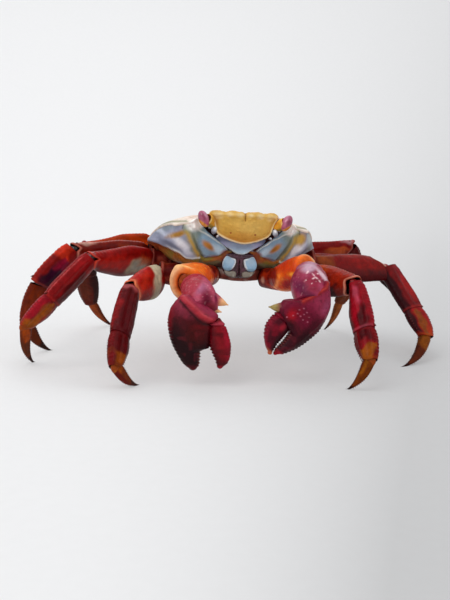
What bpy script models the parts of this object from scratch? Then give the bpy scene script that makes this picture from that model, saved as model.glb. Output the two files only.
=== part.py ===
"""Shore crab of the Sally Lightfoot kind, life size, standing on its eight walking legs.

The crab faces -Y and +Z is up. Its right side is at -X. Sizes below are in millimetres and are
turned to metres when a mesh is made. Every shell piece is its own solid, and neighbours keep a
small gap, so the joints read as joints. The floor is at z = 0, where each leg ends in a small flat.
"""
import math

import bmesh
import bpy
import numpy as np
from mathutils import Vector

MM = 0.001                    # model units are metres
GAP = 0.3                     # clear space between neighbouring pieces
BODY_AT = (-3.0, 11.0)        # where the middle of the body stands, so the box is centred
BODY_PITCH = 6.0              # degrees, nose up
BODY_ROLL = 1.5               # degrees, right side up
BODY_HINGE = 50.0             # height about which the body is pitched and rolled
SPINE_TIP = 0.35              # radius of a spine's blunt tip
LEG_SIDES = 8                 # sides of a leg's cross-section
CLAW_SIDES = 12               # sides of a claw's cross-section

# Length of merus, carpus, propodus and dactyl for walking legs 1 to 4, and how stout each leg is.
LEG_LENGTHS = {1: (31.5, 22.5, 14.0, 15.0), 2: (39.5, 23.5, 15.0, 22.5),
               3: (38.5, 20.5, 19.0, 17.5), 4: (34.0, 17.5, 18.5, 18.0)}
LEG_STOUTNESS = {1: 0.97, 2: 1.0, 3: 0.96, 4: 0.84}
LOWER_TURN = {1: 0.5, 2: 0.0, 3: 0.0, 4: 0.0}   # how much the lower leg's broad face turns forwards

# The pose: where a leg leaves the body, then azimuth and elevation in degrees of its merus,
# carpus and propodus, and the azimuth of its dactyl, whose elevation takes it to the floor.
LEG_POSE = {
    "right_1": ((-33.0, -17.0, 38.0), (-118, -5), (-107, -44), (-101, -47), 41),
    "right_2": ((-36.0, -4.0, 42.0), (-135, 6), (-166, -46), (-169, -47), 78),
    "right_3": ((-36.0, 9.0, 43.5), (-154, 4), (-166, -48), (168, -72), 37),
    "right_4": ((-32.0, 22.0, 45.7), (169, -3), (75, -59), (76, -59), 28),
    "left_1": ((33.5, -17.5, 39.2), (-69, 0), (-88, -47), (-90, -45), 152),
    "left_2": ((38.0, -3.0, 43.0), (11, -6), (-54, -48), (-67, -46), -137),
    "left_3": ((36.0, 9.5, 41.5), (7, -6), (-11, -40), (-61, -47), -128),
    "left_4": ((31.0, 22.0, 44.5), (7, 3), (51, -54), (125, -61), 129),
}

# Leg outlines: place along the segment, height above and below its axis, half its thickness.
MERUS = ((-0.05, 2.2, 2.4, 1.7), (0.02, 3.0, 4.0, 2.4), (0.16, 4.2, 6.8, 3.0), (0.42, 4.9, 8.2, 3.3),
         (0.66, 5.1, 7.5, 3.2), (0.88, 4.9, 6.1, 3.0), (1.0, 4.7, 5.2, 2.9), (1.07, 3.0, 3.8, 2.2))
CARPUS = ((-0.08, 1.8, 2.0, 1.5), (0.02, 3.4, 3.4, 2.3), (0.25, 4.6, 4.4, 2.7), (0.7, 5.0, 4.6, 2.8),
          (0.98, 4.7, 4.3, 2.6), (1.05, 3.4, 3.2, 2.0))
PROPODUS = ((-0.1, 2.2, 2.2, 1.5), (0.04, 4.1, 3.9, 2.3), (0.35, 4.7, 4.3, 2.5), (0.7, 4.2, 3.7, 2.3),
            (1.0, 3.1, 2.9, 1.9), (1.09, 2.0, 2.0, 1.4))
DACTYL = ((-0.1, 1.5, 1.4, 1.1), (0.04, 2.6, 2.3, 1.6), (0.3, 2.5, 2.3, 1.5), (0.6, 1.8, 1.6, 1.2),
          (0.82, 1.0, 0.9, 0.8), (1.04, 0.45, 0.45, 0.4))
DACTYL_BOW = 0.08             # how far the claw-like last segment bows outwards, of its length
HIP_REACH = 15.0              # length of a leg's basal piece, inwards from the merus
HIP_DROP = 1.2                # how much lower the inner end of a basal piece lies
HIP_SIZE = (4.6, 4.2)         # half height and half thickness of a basal piece
CLAW_HIP_SIZE = (4.6, 4.4)    # radius of a claw's basal piece at its two ends
HIP_STATIONS = ((0.0, 0.9), (0.55, 1.0), (0.85, 1.0), (1.06, 1.12))   # place along it, size

# The carapace as rows from the front centre round the left side to the back centre. Each row has
# a point on the upper margin, one on the crease of the flank, and one on the lower edge.
CARAPACE_ROWS = (
    ((0.0, -31.5, 62.0), (0.0, -28.5, 50.5), (0.0, -24.5, 40.0)),
    ((13.5, -31.5, 61.4), (6.2, -29.5, 47.5), (7.0, -25.0, 39.5)),
    ((18.0, -33.0, 60.2), (11.5, -28.0, 45.3), (12.0, -23.0, 39.2)),
    ((23.0, -32.2, 58.9), (17.8, -25.0, 43.8), (17.0, -20.5, 39.2)),
    ((23.8, -27.8, 58.0), (21.0, -23.0, 43.0), (19.5, -18.5, 39.4)),
    ((28.8, -26.0, 57.0), (24.8, -20.5, 42.3), (22.0, -16.5, 39.6)),
    ((33.0, -15.0, 55.0), (31.5, -14.0, 44.2), (26.0, -11.0, 40.6)),
    ((36.6, -5.0, 53.2), (37.8, -4.5, 48.0), (29.0, -3.5, 41.5)),
    ((37.8, 5.0, 52.6), (38.2, 5.0, 48.5), (29.5, 5.0, 42.0)),
    ((35.5, 15.0, 53.0), (35.5, 15.0, 49.0), (27.5, 14.0, 43.0)),
    ((29.0, 25.0, 54.2), (29.0, 25.0, 50.0), (22.5, 22.5, 44.0)),
    ((20.5, 32.8, 55.4), (20.5, 32.8, 51.2), (15.5, 28.5, 45.0)),
    ((9.0, 34.8, 56.0), (9.0, 34.8, 51.8), (7.0, 30.0, 45.4)),
    ((0.0, 35.0, 56.0), (0.0, 35.0, 51.8), (0.0, 30.0, 45.4)),
)
DOME_CENTRE = (0.0, 0.0, 63.4)   # highest part of the back
DOME_RINGS = (0.93, 0.8, 0.55, 0.28)
DOME_POWER = 2.1                 # how flat the top of the back is
FLANK_BULGE = 0.12               # how far the flank swells between margin and crease

# The front plate, folded down between the eyes. Stations down it: share of its drop, half its
# width, and its thickness, which is greatest above, where it grows out of the back.
FRONT_AT = (-36.2, 62.9)
FRONT_STATIONS = ((0.0, 14.4, 5.6), (0.14, 14.0, 5.6), (0.3, 13.4, 2.6), (0.55, 12.2, 2.4),
                  (0.74, 10.4, 2.2), (0.9, 6.4, 2.0), (1.0, 2.4, 1.6))
FRONT_DROP = 13.0
FRONT_LEAN = 1.4
FRONT_CURVE = 2.2

ORBIT = dict(at=(19.6, -34.6, 60.6), radii=(6.6, 5.0, 4.3), tilt=-24.0)
EYE = dict(at=(18.2, -35.6, 59.8), radii=(2.6, 2.6, 3.4), tilt=20.0)
EYESTALK = dict(root=(14.6, -31.8, 57.4), tip=(17.2, -34.9, 58.9), radius=2.1)

# Mouth pieces as levels from the top down. The frame has a half width at each level, the outer
# mouth plates have an inner and an outer edge. Both have a distance forwards and a half thickness.
MOUTH_FRAME = ((52.6, 9.8), (50.4, 9.0), (48.0, 6.6), (45.4, 3.4))
MOUTH_FRAME_AT = -29.2
MOUTH_FRAME_HALF = 2.4
MOUTH_FRAME_CURVE = 1.6
MAXILLIPED = ((44.6, 3.4, 6.6), (42.8, 2.0, 7.6), (39.6, 1.2, 7.0), (36.0, 1.0, 5.4))
MAXILLIPED_AT = -28.4
MAXILLIPED_HALF = 1.7

STERNUM_STATIONS = ((-25.0, 6.5, 33.8), (-20.0, 13.0, 34.2), (-8.0, 18.0, 35.6), (6.0, 18.5, 37.2),
                    (18.0, 14.5, 39.2), (25.5, 8.0, 40.8))
STERNUM_TOP = 42.5
ABDOMEN_STATIONS = ((-14.0, 2.2, 34.9), (-4.0, 3.6, 36.0), (6.0, 5.0, 37.2), (16.0, 8.5, 38.9),
                    (25.0, 10.0, 40.6), (29.5, 10.5, 43.4), (33.5, 10.5, 49.0))
ABDOMEN_THICKNESS = 1.5
PLATE_CHAMFER = 1.2           # how far a belly plate's sides are cut back below

# Claws lie in planes of their own: an origin, the way to the fingertips, and the way outwards.
# Palm and finger stations: place along, inner edge, outer edge, half the thickness.
CLAWS = {
    "right": dict(
        hip=((-12.5, -24.0, 38.6), (-16.5, -33.5, 39.0)),
        arm=((-15.9, -31.5, 39.0, 4.9), (-19.5, -37.5, 39.8, 6.0), (-22.3, -43.5, 39.8, 7.4),
             (-23.4, -47.5, 39.4, 7.9)),
        wrist=((-22.6, -47.6, 39.6, 4.2), (-22.0, -50.0, 38.6, 6.2), (-21.0, -54.0, 36.0, 7.5),
               (-20.8, -58.5, 32.6, 7.2), (-21.2, -60.5, 30.6, 5.4)),
        wrist_tooth=((-15.0, -57.0, 33.6), (-9.8, -59.2, 32.0), 2.3),
        origin=(-24.0, -61.5, 35.0), along=(0.0, -0.06, -1.0), outward=(-1.0, 0.12, 0.0),
        palm=((-0.5, 1.5, 6.2, 2.2), (2.0, -2.5, 8.8, 3.8), (5.0, -6.4, 10.2, 4.6),
              (10.0, -7.6, 10.4, 5.0), (15.0, -7.4, 9.4, 4.8), (19.6, -6.8, 7.5, 4.0),
              (21.2, -3.2, 6.8, 3.4), (24.5, -2.9, 4.9, 2.7), (27.0, -2.6, 2.7, 2.0),
              (28.3, -1.8, 0.6, 1.0)),
        finger=((8.3, -11.2, -8.6, 1.6), (10.5, -13.2, -6.8, 2.9), (14.0, -14.0, -6.9, 3.4),
                (19.0, -15.1, -7.5, 3.2), (23.0, -15.0, -8.4, 2.7), (26.0, -13.9, -9.6, 2.0),
                (27.9, -12.4, -10.6, 1.0)),
        spike=None),
    "left": dict(
        hip=((12.0, -24.0, 37.8), (16.5, -32.5, 38.2)),
        arm=((15.8, -31.0, 38.8, 4.9), (17.8, -36.5, 40.0, 6.0), (21.6, -41.5, 42.4, 7.0),
             (24.4, -45.0, 43.4, 7.4)),
        wrist=((24.4, -45.4, 43.0, 4.2), (24.6, -47.6, 42.6, 6.2), (24.3, -51.5, 40.4, 7.6),
               (23.7, -56.5, 36.8, 7.4), (23.0, -59.5, 33.6, 5.6)),
        wrist_tooth=None,
        origin=(26.0, -60.5, 35.0), along=(-0.6, -0.05, -0.8), outward=(0.8, 0.10, -0.6),
        palm=((-4.4, -0.6, 3.6, 2.2), (0.0, -6.2, 6.6, 4.0), (5.0, -8.4, 7.8, 4.8),
              (10.5, -9.6, 7.6, 4.9), (14.0, -8.6, 7.0, 4.6), (16.4, -5.2, 6.3, 3.8),
              (18.2, -0.7, 5.7, 3.2), (21.5, -0.9, 4.3, 2.6), (25.7, -1.2, 2.1, 1.8),
              (28.3, -0.9, 0.3, 1.0)),
        finger=((13.4, -8.2, -5.6, 1.6), (16.0, -10.0, -2.6, 2.9), (20.3, -10.2, -1.9, 3.1),
                (23.5, -8.8, -2.2, 2.7), (26.0, -7.0, -2.3, 2.2), (28.0, -4.6, -2.0, 1.4),
                (29.0, -3.0, -1.7, 0.8)),
        spike=((12.0, -8.8), (15.0, -14.2), 2.1)),
}

COLOURS = {
    "shell_red": ((0.45, 0.02, 0.015), 0.35), "shell_blue": ((0.42, 0.48, 0.55), 0.4),
    "shell_yellow": ((0.72, 0.42, 0.06), 0.4), "claw_rose": ((0.35, 0.03, 0.07), 0.3),
    "claw_dark": ((0.12, 0.008, 0.015), 0.3), "claw_orange": ((0.65, 0.14, 0.02), 0.4),
    "leg_tip": ((0.30, 0.08, 0.015), 0.4), "mouth_blue": ((0.45, 0.58, 0.68), 0.4),
    "belly": ((0.35, 0.22, 0.16), 0.5), "eye": ((0.45, 0.06, 0.14), 0.15),
}


# ---------------------------------------------------------------------------- scene and materials
def clear_scene():
    for item in list(bpy.data.objects):
        bpy.data.objects.remove(item, do_unlink=True)


def new_collection(name):
    collection = bpy.data.collections.new(name)
    bpy.context.scene.collection.children.link(collection)
    return collection


def principled(name, finish):
    colour, roughness = COLOURS[finish]
    material = bpy.data.materials.new(name)
    material.use_nodes = True
    shader = material.node_tree.nodes["Principled BSDF"]
    shader.inputs["Base Color"].default_value = (*colour, 1.0)
    shader.inputs["Roughness"].default_value = roughness
    return material


def make_object(name, shape, collection, finish=None):
    """Turn a bmesh in millimetres into a named object in metres."""
    bmesh.ops.scale(shape, vec=(MM, MM, MM), verts=shape.verts)
    mesh = bpy.data.meshes.new(name)
    shape.to_mesh(mesh)
    shape.free()
    mesh.set_sharp_from_angle(angle=math.radians(40))
    item = bpy.data.objects.new(name, mesh)
    collection.objects.link(item)
    if finish is None:
        item.display_type = "WIRE"
        item.hide_render = True
    else:
        mesh.materials.append(principled(name, finish))
    return item


def boolean(item, other, operation):
    modifier = item.modifiers.new(f"{operation.lower()} {other.name}", "BOOLEAN")
    modifier.operation = operation
    modifier.solver = "EXACT"
    modifier.object = other


# ---------------------------------------------------------------------------- shape functions
def unit(vector):
    vector = np.asarray(vector, float)
    return vector / np.linalg.norm(vector)


def heading(azimuth, elevation):
    a, e = math.radians(azimuth), math.radians(elevation)
    return np.array([math.cos(a) * math.cos(e), math.sin(a) * math.cos(e), math.sin(e)])


def place(point):
    """Where a point stands, once the body's middle is at BODY_AT."""
    return np.asarray(point, float) + (*BODY_AT, 0.0)


def tilt(point):
    """Pitch and roll a point of the level body, then place it."""
    x, y, z = point
    pitch, roll = math.radians(BODY_PITCH), math.radians(BODY_ROLL)
    z -= BODY_HINGE
    y, z = y * math.cos(pitch) + z * math.sin(pitch), z * math.cos(pitch) - y * math.sin(pitch)
    x, z = x * math.cos(roll) + z * math.sin(roll), z * math.cos(roll) - x * math.sin(roll)
    return place((x, y, z + BODY_HINGE))


def ring(centre, up, side, above, below, half, sides, power=2.3):
    """A superellipse whose upper and lower halves may differ in height."""
    angle = (np.arange(sides) + 0.5) * 2.0 * np.pi / sides
    c, s = np.cos(angle), np.sin(angle)
    c = np.sign(c) * np.abs(c) ** (2.0 / power)
    s = np.sign(s) * np.abs(s) ** (2.0 / power)
    height = np.where(s > 0, above, below) * s
    return np.asarray(centre) + np.outer(height, up) + np.outer(half * c, side)


def loft(rings):
    """Skin a list of rings of equal length and close both ends."""
    shape = bmesh.new()
    rows = [[shape.verts.new(point) for point in points] for points in rings]
    count = len(rows[0])
    for first, second in zip(rows, rows[1:]):
        for i in range(count):
            j = (i + 1) % count
            shape.faces.new((first[i], first[j], second[j], second[i]))
    shape.faces.new(rows[0][::-1])
    shape.faces.new(rows[-1])
    bmesh.ops.recalc_face_normals(shape, faces=shape.faces)
    return shape


def end_sign(index, stations):
    """Which way a station moves when its piece grows: back at the first, on at the last."""
    return {0: -1, len(stations) - 1: 1}.get(index, 0)


def cut_at_floor(shape):
    geometry = shape.verts[:] + shape.edges[:] + shape.faces[:]
    cut = bmesh.ops.bisect_plane(shape, geom=geometry, plane_co=(0, 0, 0), plane_no=(0, 0, 1),
                                 clear_inner=True)
    edges = [item for item in cut["geom_cut"] if isinstance(item, bmesh.types.BMEdge)]
    bmesh.ops.holes_fill(shape, edges=edges)
    bmesh.ops.recalc_face_normals(shape, faces=shape.faces)
    return shape


def ellipsoid(centre, radii, tilt_angle=0.0, segments=12, rings=8):
    """An ellipsoid leaning sideways by tilt_angle, in the body's frame."""
    shape = bmesh.new()
    bmesh.ops.create_uvsphere(shape, u_segments=segments, v_segments=rings, radius=1.0)
    lean = math.radians(tilt_angle)
    for vertex in shape.verts:
        x, y, z = (radius * value for radius, value in zip(radii, vertex.co))
        x, z = x * math.cos(lean) + z * math.sin(lean), z * math.cos(lean) - x * math.sin(lean)
        vertex.co = Vector(tilt((centre[0] + x, centre[1] + y, centre[2] + z)))
    bmesh.ops.recalc_face_normals(shape, faces=shape.faces)
    return shape


def cone(base, tip, radius, sides=8):
    """A spine that narrows to a blunt tip, a little fuller than a straight cone."""
    axis = unit(np.subtract(tip, base))
    side = unit(np.cross(axis, (0.0, 0.0, 1.0)))
    up = np.cross(side, axis)
    rings = []
    for t, size in ((0.0, radius), (0.6, radius * 0.6), (1.0, SPINE_TIP)):
        centre = np.add(base, np.subtract(tip, base) * t)
        rings.append(ring(centre, up, side, size, size, size, sides))
    return loft(rings)


# ---------------------------------------------------------------------------- walking legs
def leg_points(name):
    """Joints of one leg from root to tip, and the way the broad face of each segment looks."""
    root, *bends, last_azimuth = LEG_POSE[name]
    lengths = LEG_LENGTHS[int(name[-1])]
    points = [place(root)]
    for (azimuth, elevation), length in zip(bends, lengths):
        points.append(points[-1] + heading(azimuth, elevation) * length)
    drop = math.degrees(math.asin(points[-1][2] / lengths[3]))
    points.append(points[-1] + heading(last_azimuth, -drop) * lengths[3])
    normal = unit(np.cross(heading(*bends[0]), heading(*bends[2])))
    if np.cross(normal, heading(*bends[0]))[2] < 0:
        normal = -normal
    lower = unit(normal + (0.0, math.copysign(LOWER_TURN[int(name[-1])], normal[1]), 0.0))
    return points, (normal, lower, lower, lower)


def leg_segment(start, end, normal, outline, stoutness, grow=0.0, bow=0.0):
    length = np.linalg.norm(end - start)
    axis = (end - start) / length
    up = unit(np.cross(normal, axis))
    side = np.cross(axis, up)
    rings = []
    for i, (t, above, below, half) in enumerate(outline):
        t += grow / length * end_sign(i, outline)
        centre = start + axis * t * length + up * bow * length * 4.0 * t * (1.0 - t)
        rings.append(ring(centre, up, side, above * stoutness + grow, below * stoutness + grow,
                          half * stoutness + grow, LEG_SIDES))
    return loft(rings)


def hip_segment(root, grow=0.0):
    """The basal piece: a short tube from inside the body to the merus, with a flared rim."""
    inward = unit((place((0.0, root[1] - BODY_AT[1], 0.0)) - root) * (1.0, 1.0, 0.0))
    inner = root + inward * HIP_REACH - (0.0, 0.0, HIP_DROP)
    axis = unit(root - inner)
    side = unit(np.cross(axis, (0.0, 0.0, 1.0)))
    up = np.cross(side, axis)
    high, thick = HIP_SIZE
    rings = []
    for i, (t, size) in enumerate(HIP_STATIONS):
        t += grow / HIP_REACH * end_sign(i, HIP_STATIONS)
        centre = inner + (root - inner) * t
        rings.append(ring(centre, up, side, high * size + grow, high * size + grow,
                          thick * size + grow, LEG_SIDES))
    return loft(rings)


def build_leg(name, parts, cutters):
    points, normals = leg_points(name)
    stoutness = LEG_STOUTNESS[int(name[-1])]
    pieces = (("merus", MERUS, 0.0, "shell_red"), ("carpus", CARPUS, 0.0, "shell_red"),
              ("propodus", PROPODUS, 0.0, "shell_red"), ("dactyl", DACTYL, DACTYL_BOW, "leg_tip"))
    made = [make_object(f"leg_{name}_hip", hip_segment(points[0]), parts, "belly")]
    for i, (piece, outline, bow, finish) in enumerate(pieces):
        solid = leg_segment(points[i], points[i + 1], normals[i], outline, stoutness, bow=bow)
        if piece == "dactyl":
            solid = cut_at_floor(solid)
        item = make_object(f"leg_{name}_{piece}", solid, parts, finish)
        grown = leg_segment(points[i], points[i + 1], normals[i], outline, stoutness, GAP, bow)
        cutter = make_object(f"cut_leg_{name}_{piece}", grown, cutters)
        boolean(made[-1], cutter, "DIFFERENCE")
        made.append(item)
    return make_object(f"cut_leg_{name}_hip", hip_segment(points[0], GAP), cutters)


# ---------------------------------------------------------------------------- claws
def tube_rings(stations, grow=0.0, sides=CLAW_SIDES):
    """Rings along a path of round stations (x, y, z, radius), each square to the path."""
    centres = [place(station[:3]) for station in stations]
    ahead = [unit(b - a) for a, b in zip(centres, centres[1:])]
    tangents = [ahead[0]] + [unit(a + b) for a, b in zip(ahead, ahead[1:])] + [ahead[-1]]
    centres[0] = centres[0] - ahead[0] * grow
    centres[-1] = centres[-1] + ahead[-1] * grow
    rings = []
    for centre, tangent, station in zip(centres, tangents, stations):
        side = unit(np.cross(tangent, (0.0, 0.0, 1.0)))
        up = np.cross(side, tangent)
        size = station[3] + grow
        rings.append(ring(centre, up, side, size, size, size, sides))
    return rings


def claw_blade(claw, stations, grow=0.0):
    """A flat piece in the claw's own plane, given its two edges and its thickness."""
    along, outward = unit(claw["along"]), unit(claw["outward"])
    facing = unit(np.cross(along, outward))
    outward = np.cross(facing, along)
    origin = place(claw["origin"])
    rings = []
    for i, (s, inner, outer, half) in enumerate(stations):
        s += grow * end_sign(i, stations)
        reach = (outer - inner) / 2.0 + grow
        centre = origin + along * s + outward * (outer + inner) / 2.0
        rings.append(ring(centre, outward, facing, reach, reach, half + grow, CLAW_SIDES))
    return loft(rings)


def build_claw(side, parts, cutters):
    claw = CLAWS[side]
    hip = [(*point, size) for point, size in zip(claw["hip"], CLAW_HIP_SIZE)]
    hip_item = make_object(f"claw_{side}_hip", loft(tube_rings(hip)), parts, "belly")
    arm = make_object(f"claw_{side}_arm", loft(tube_rings(claw["arm"])), parts, "claw_orange")
    wrist = make_object(f"claw_{side}_wrist", loft(tube_rings(claw["wrist"])), parts, "claw_rose")
    palm = make_object(f"claw_{side}_palm", claw_blade(claw, claw["palm"]), parts, "claw_dark")
    make_object(f"claw_{side}_finger", claw_blade(claw, claw["finger"]), parts, "claw_dark")
    if claw["wrist_tooth"]:
        base, tip, radius = claw["wrist_tooth"]
        tooth = make_object(f"add_{side}_tooth", cone(place(base), place(tip), radius), cutters)
        boolean(wrist, tooth, "UNION")
    if claw["spike"]:
        along, outward = unit(claw["along"]), unit(claw["outward"])
        ends = [place(claw["origin"]) + along * s + outward * r for s, r in claw["spike"][:2]]
        spike = make_object(f"add_{side}_spike", cone(*ends, claw["spike"][2]), cutters)
        boolean(palm, spike, "UNION")
    grown = {"arm": loft(tube_rings(claw["arm"], GAP)), "wrist": loft(tube_rings(claw["wrist"], GAP)),
             "finger": claw_blade(claw, claw["finger"], GAP)}
    grown = {key: make_object(f"cut_claw_{side}_{key}", solid, cutters)
             for key, solid in grown.items()}
    boolean(hip_item, grown["arm"], "DIFFERENCE")
    boolean(arm, grown["wrist"], "DIFFERENCE")
    boolean(palm, grown["wrist"], "DIFFERENCE")
    boolean(palm, grown["finger"], "DIFFERENCE")
    return make_object(f"cut_claw_{side}_hip", loft(tube_rings(hip, GAP)), cutters)


# ---------------------------------------------------------------------------- body
def around(row_index):
    """One level of the carapace rows as a closed loop, left side then right side."""
    left = [row[row_index] for row in CARAPACE_ROWS]
    right = [(-x, y, z) for x, y, z in left[-2:0:-1]]
    return np.array(left + right)


def carapace_shell():
    margin, crease, edge = (around(i) for i in range(3))
    centre = np.array(DOME_CENTRE)
    rings = []
    for share in DOME_RINGS[::-1]:
        level = centre + (margin - centre) * share
        level[:, 2] = margin[:, 2] + (centre[2] - margin[:, 2]) * (1.0 - share ** DOME_POWER)
        rings.append(level)
    swell = (crease - edge) * (FLANK_BULGE, FLANK_BULGE, 0.0)
    rings += [margin, (margin + crease) / 2.0 + swell, crease, edge]
    return loft([[tilt(point) for point in level] for level in rings])


def front_plate():
    """The folded-down front between the eyes, as a slab that narrows to a blunt point."""
    front, top = FRONT_AT
    rings = []
    for t, half, thickness in FRONT_STATIONS:
        centre = (0.0, front + FRONT_LEAN * t + thickness / 2.0, top - FRONT_DROP * t)
        section = ring(centre, (0.0, 1.0, 0.0), (1.0, 0.0, 0.0), thickness / 2.0,
                       thickness / 2.0, half, 16, 4)
        section[:, 1] += FRONT_CURVE * (section[:, 0] / FRONT_STATIONS[0][1]) ** 2
        rings.append([tilt(point) for point in section])
    return loft(rings)


def plate_between(stations, top_of, grow=0.0):
    """A belly plate from stations (y, half width, underside), with its top given by a function."""
    path = np.array([(y, under) for y, _, under in stations])
    path[0] += unit(path[0] - path[1]) * grow
    path[-1] += unit(path[-1] - path[-2]) * grow
    rings = []
    for (y, under), (_, half, _) in zip(path, stations):
        top = top_of(under) + grow
        bottom = under - grow
        points = [(half + grow, top), (-half - grow, top), (-half - grow, bottom + PLATE_CHAMFER),
                  (-half * 0.7, bottom), (half * 0.7, bottom), (half + grow, bottom + PLATE_CHAMFER)]
        rings.append([tilt((x, y, z)) for x, z in points])
    return loft(rings)


def sternum_solid(grow=0.0):
    return plate_between(STERNUM_STATIONS, lambda under: STERNUM_TOP, grow)


def abdomen_solid(grow=0.0):
    return plate_between(ABDOMEN_STATIONS, lambda under: under + ABDOMEN_THICKNESS, grow)


def mouth_frame_solid(grow=0.0):
    """The pale crescent under the front plate, wider above, narrowing to the mouth."""
    rings = []
    deep = MOUTH_FRAME_HALF + grow
    for i, (z, half) in enumerate(MOUTH_FRAME):
        z -= grow * end_sign(i, MOUTH_FRAME)
        section = ring((0.0, MOUTH_FRAME_AT, z), (0.0, 1.0, 0.0), (1.0, 0.0, 0.0), deep, deep,
                       half + grow, 12, 3)
        section[:, 1] += MOUTH_FRAME_CURVE * (section[:, 0] / MOUTH_FRAME[0][1]) ** 2
        rings.append([tilt(point) for point in section])
    return loft(rings)


def maxilliped_solid(sign, grow=0.0):
    """One of the two outer mouth plates: a flat leaf beside the mouth."""
    rings = []
    deep = MAXILLIPED_HALF + grow
    for i, (z, inner, outer) in enumerate(MAXILLIPED):
        z -= grow * end_sign(i, MAXILLIPED)
        section = ring((sign * (inner + outer) / 2.0, MAXILLIPED_AT, z), (0.0, 1.0, 0.0),
                       (1.0, 0.0, 0.0), deep, deep, (outer - inner) / 2.0 + grow, 10, 3)
        rings.append([tilt(point) for point in section])
    return loft(rings)


def build_body(parts, cutters, hip_cutters):
    carapace = make_object("carapace", carapace_shell(), parts, "shell_blue")
    plate = make_object("add_front_plate", front_plate(), cutters)
    boolean(carapace, plate, "UNION")
    sternum = make_object("sternum", sternum_solid(), parts, "belly")
    make_object("abdomen", abdomen_solid(), parts, "belly")
    boolean(carapace, make_object("cut_sternum", sternum_solid(GAP), cutters), "DIFFERENCE")
    abdomen_cutter = make_object("cut_abdomen", abdomen_solid(GAP), cutters)
    boolean(carapace, abdomen_cutter, "DIFFERENCE")
    boolean(sternum, abdomen_cutter, "DIFFERENCE")
    make_object("mouth_frame", mouth_frame_solid(), parts, "mouth_blue")
    boolean(carapace, make_object("cut_mouth_frame", mouth_frame_solid(GAP), cutters), "DIFFERENCE")
    for side, sign in (("right", -1), ("left", 1)):
        make_object(f"maxilliped_{side}", maxilliped_solid(sign), parts, "mouth_blue")
        leaf = make_object(f"cut_maxilliped_{side}", maxilliped_solid(sign, GAP), cutters)
        boolean(carapace, leaf, "DIFFERENCE")
        boolean(sternum, leaf, "DIFFERENCE")
        flip = (sign, 1, 1)
        orbit = ellipsoid(np.multiply(ORBIT["at"], flip), ORBIT["radii"], -sign * ORBIT["tilt"])
        boolean(carapace, make_object(f"cut_orbit_{side}", orbit, cutters), "DIFFERENCE")
        eye_at, eye_lean = np.multiply(EYE["at"], flip), sign * EYE["tilt"]
        make_object(f"eye_{side}", ellipsoid(eye_at, EYE["radii"], eye_lean), parts, "eye")
        root, tip = (np.multiply(EYESTALK[end], flip) for end in ("root", "tip"))
        stations = [(root, 0.85), (tip, 1.0), (eye_at, 0.8)]
        rings, grown = [], []
        for centre, share in stations:
            size = EYESTALK["radius"] * share
            for bucket, extra in ((rings, 0.0), (grown, GAP)):
                section = ring(centre, (0.0, 0.7, 0.7), (sign * 0.8, 0.4, -0.4), size + extra,
                               size + extra, size + extra, 10)
                bucket.append([tilt(point) for point in section])
        stalk = make_object(f"eyestalk_{side}", loft(rings), parts, "shell_yellow")
        socket = ellipsoid(eye_at, [radius + GAP for radius in EYE["radii"]], eye_lean)
        boolean(stalk, make_object(f"cut_eye_{side}", socket, cutters), "DIFFERENCE")
        boolean(carapace, make_object(f"cut_eyestalk_{side}", loft(grown), cutters), "DIFFERENCE")
    for cutter in hip_cutters:
        boolean(carapace, cutter, "DIFFERENCE")
        boolean(sternum, cutter, "DIFFERENCE")


def main():
    clear_scene()
    parts = new_collection("shore_crab")
    cutters = new_collection("cutters")
    hip_cutters = [build_leg(name, parts, cutters) for name in LEG_POSE]
    hip_cutters += [build_claw(side, parts, cutters) for side in CLAWS]
    build_body(parts, cutters, hip_cutters)


main()
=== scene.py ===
"""The looks of a life-size Sally Lightfoot shore crab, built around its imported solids.

Every shell piece is a smooth surface worked out from the same stations as its solid, with rims,
grooves, teeth and granules in the mesh. Its colours are painted into a point attribute from the
place on the piece, and the material's nodes break them up. Lengths are in millimetres until a mesh
is made. The crab faces -Y, +Z is up and its right side is at -X.
"""
import math

import bpy
import numpy as np
from mathutils import Matrix, Vector


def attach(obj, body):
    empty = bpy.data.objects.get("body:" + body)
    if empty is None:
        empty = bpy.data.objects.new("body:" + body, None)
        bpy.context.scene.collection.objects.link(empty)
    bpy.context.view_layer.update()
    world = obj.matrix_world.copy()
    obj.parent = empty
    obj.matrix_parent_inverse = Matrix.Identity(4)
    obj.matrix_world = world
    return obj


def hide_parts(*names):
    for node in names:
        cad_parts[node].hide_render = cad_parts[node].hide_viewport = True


bl_info = {
    "name": "Shore crab",
    "version": (1, 0, 0),
    "blender": (4, 5, 0),
    "location": "3D View > Sidebar > Crab",
    "description": "Builds the shells, claws, legs and stage of a life-size shore crab",
    "category": "Add Mesh",
}

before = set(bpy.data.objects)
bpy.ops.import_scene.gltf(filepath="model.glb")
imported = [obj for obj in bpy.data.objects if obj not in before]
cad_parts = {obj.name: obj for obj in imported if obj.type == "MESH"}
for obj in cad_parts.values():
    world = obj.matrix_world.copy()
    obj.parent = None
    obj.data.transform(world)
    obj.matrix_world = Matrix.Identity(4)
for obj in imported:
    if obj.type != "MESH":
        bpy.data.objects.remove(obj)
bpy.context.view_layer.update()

MM = 0.001
BODY_AT = (-3.0, 11.0)
BODY_PITCH = math.radians(6.0)
BODY_ROLL = math.radians(1.5)
BODY_HINGE = 50.0
PAINT = "Shell colour"

# ------------------------------------------------------------------------ sizes of the legs
LEG_LENGTHS = {1: (31.5, 22.5, 14.0, 15.0), 2: (39.5, 23.5, 15.0, 22.5),
               3: (38.5, 20.5, 19.0, 17.5), 4: (34.0, 17.5, 18.5, 18.0)}
LEG_STOUTNESS = {1: 0.97, 2: 1.0, 3: 0.96, 4: 0.84}
LOWER_TURN = {1: 0.5, 2: 0.0, 3: 0.0, 4: 0.0}
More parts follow.
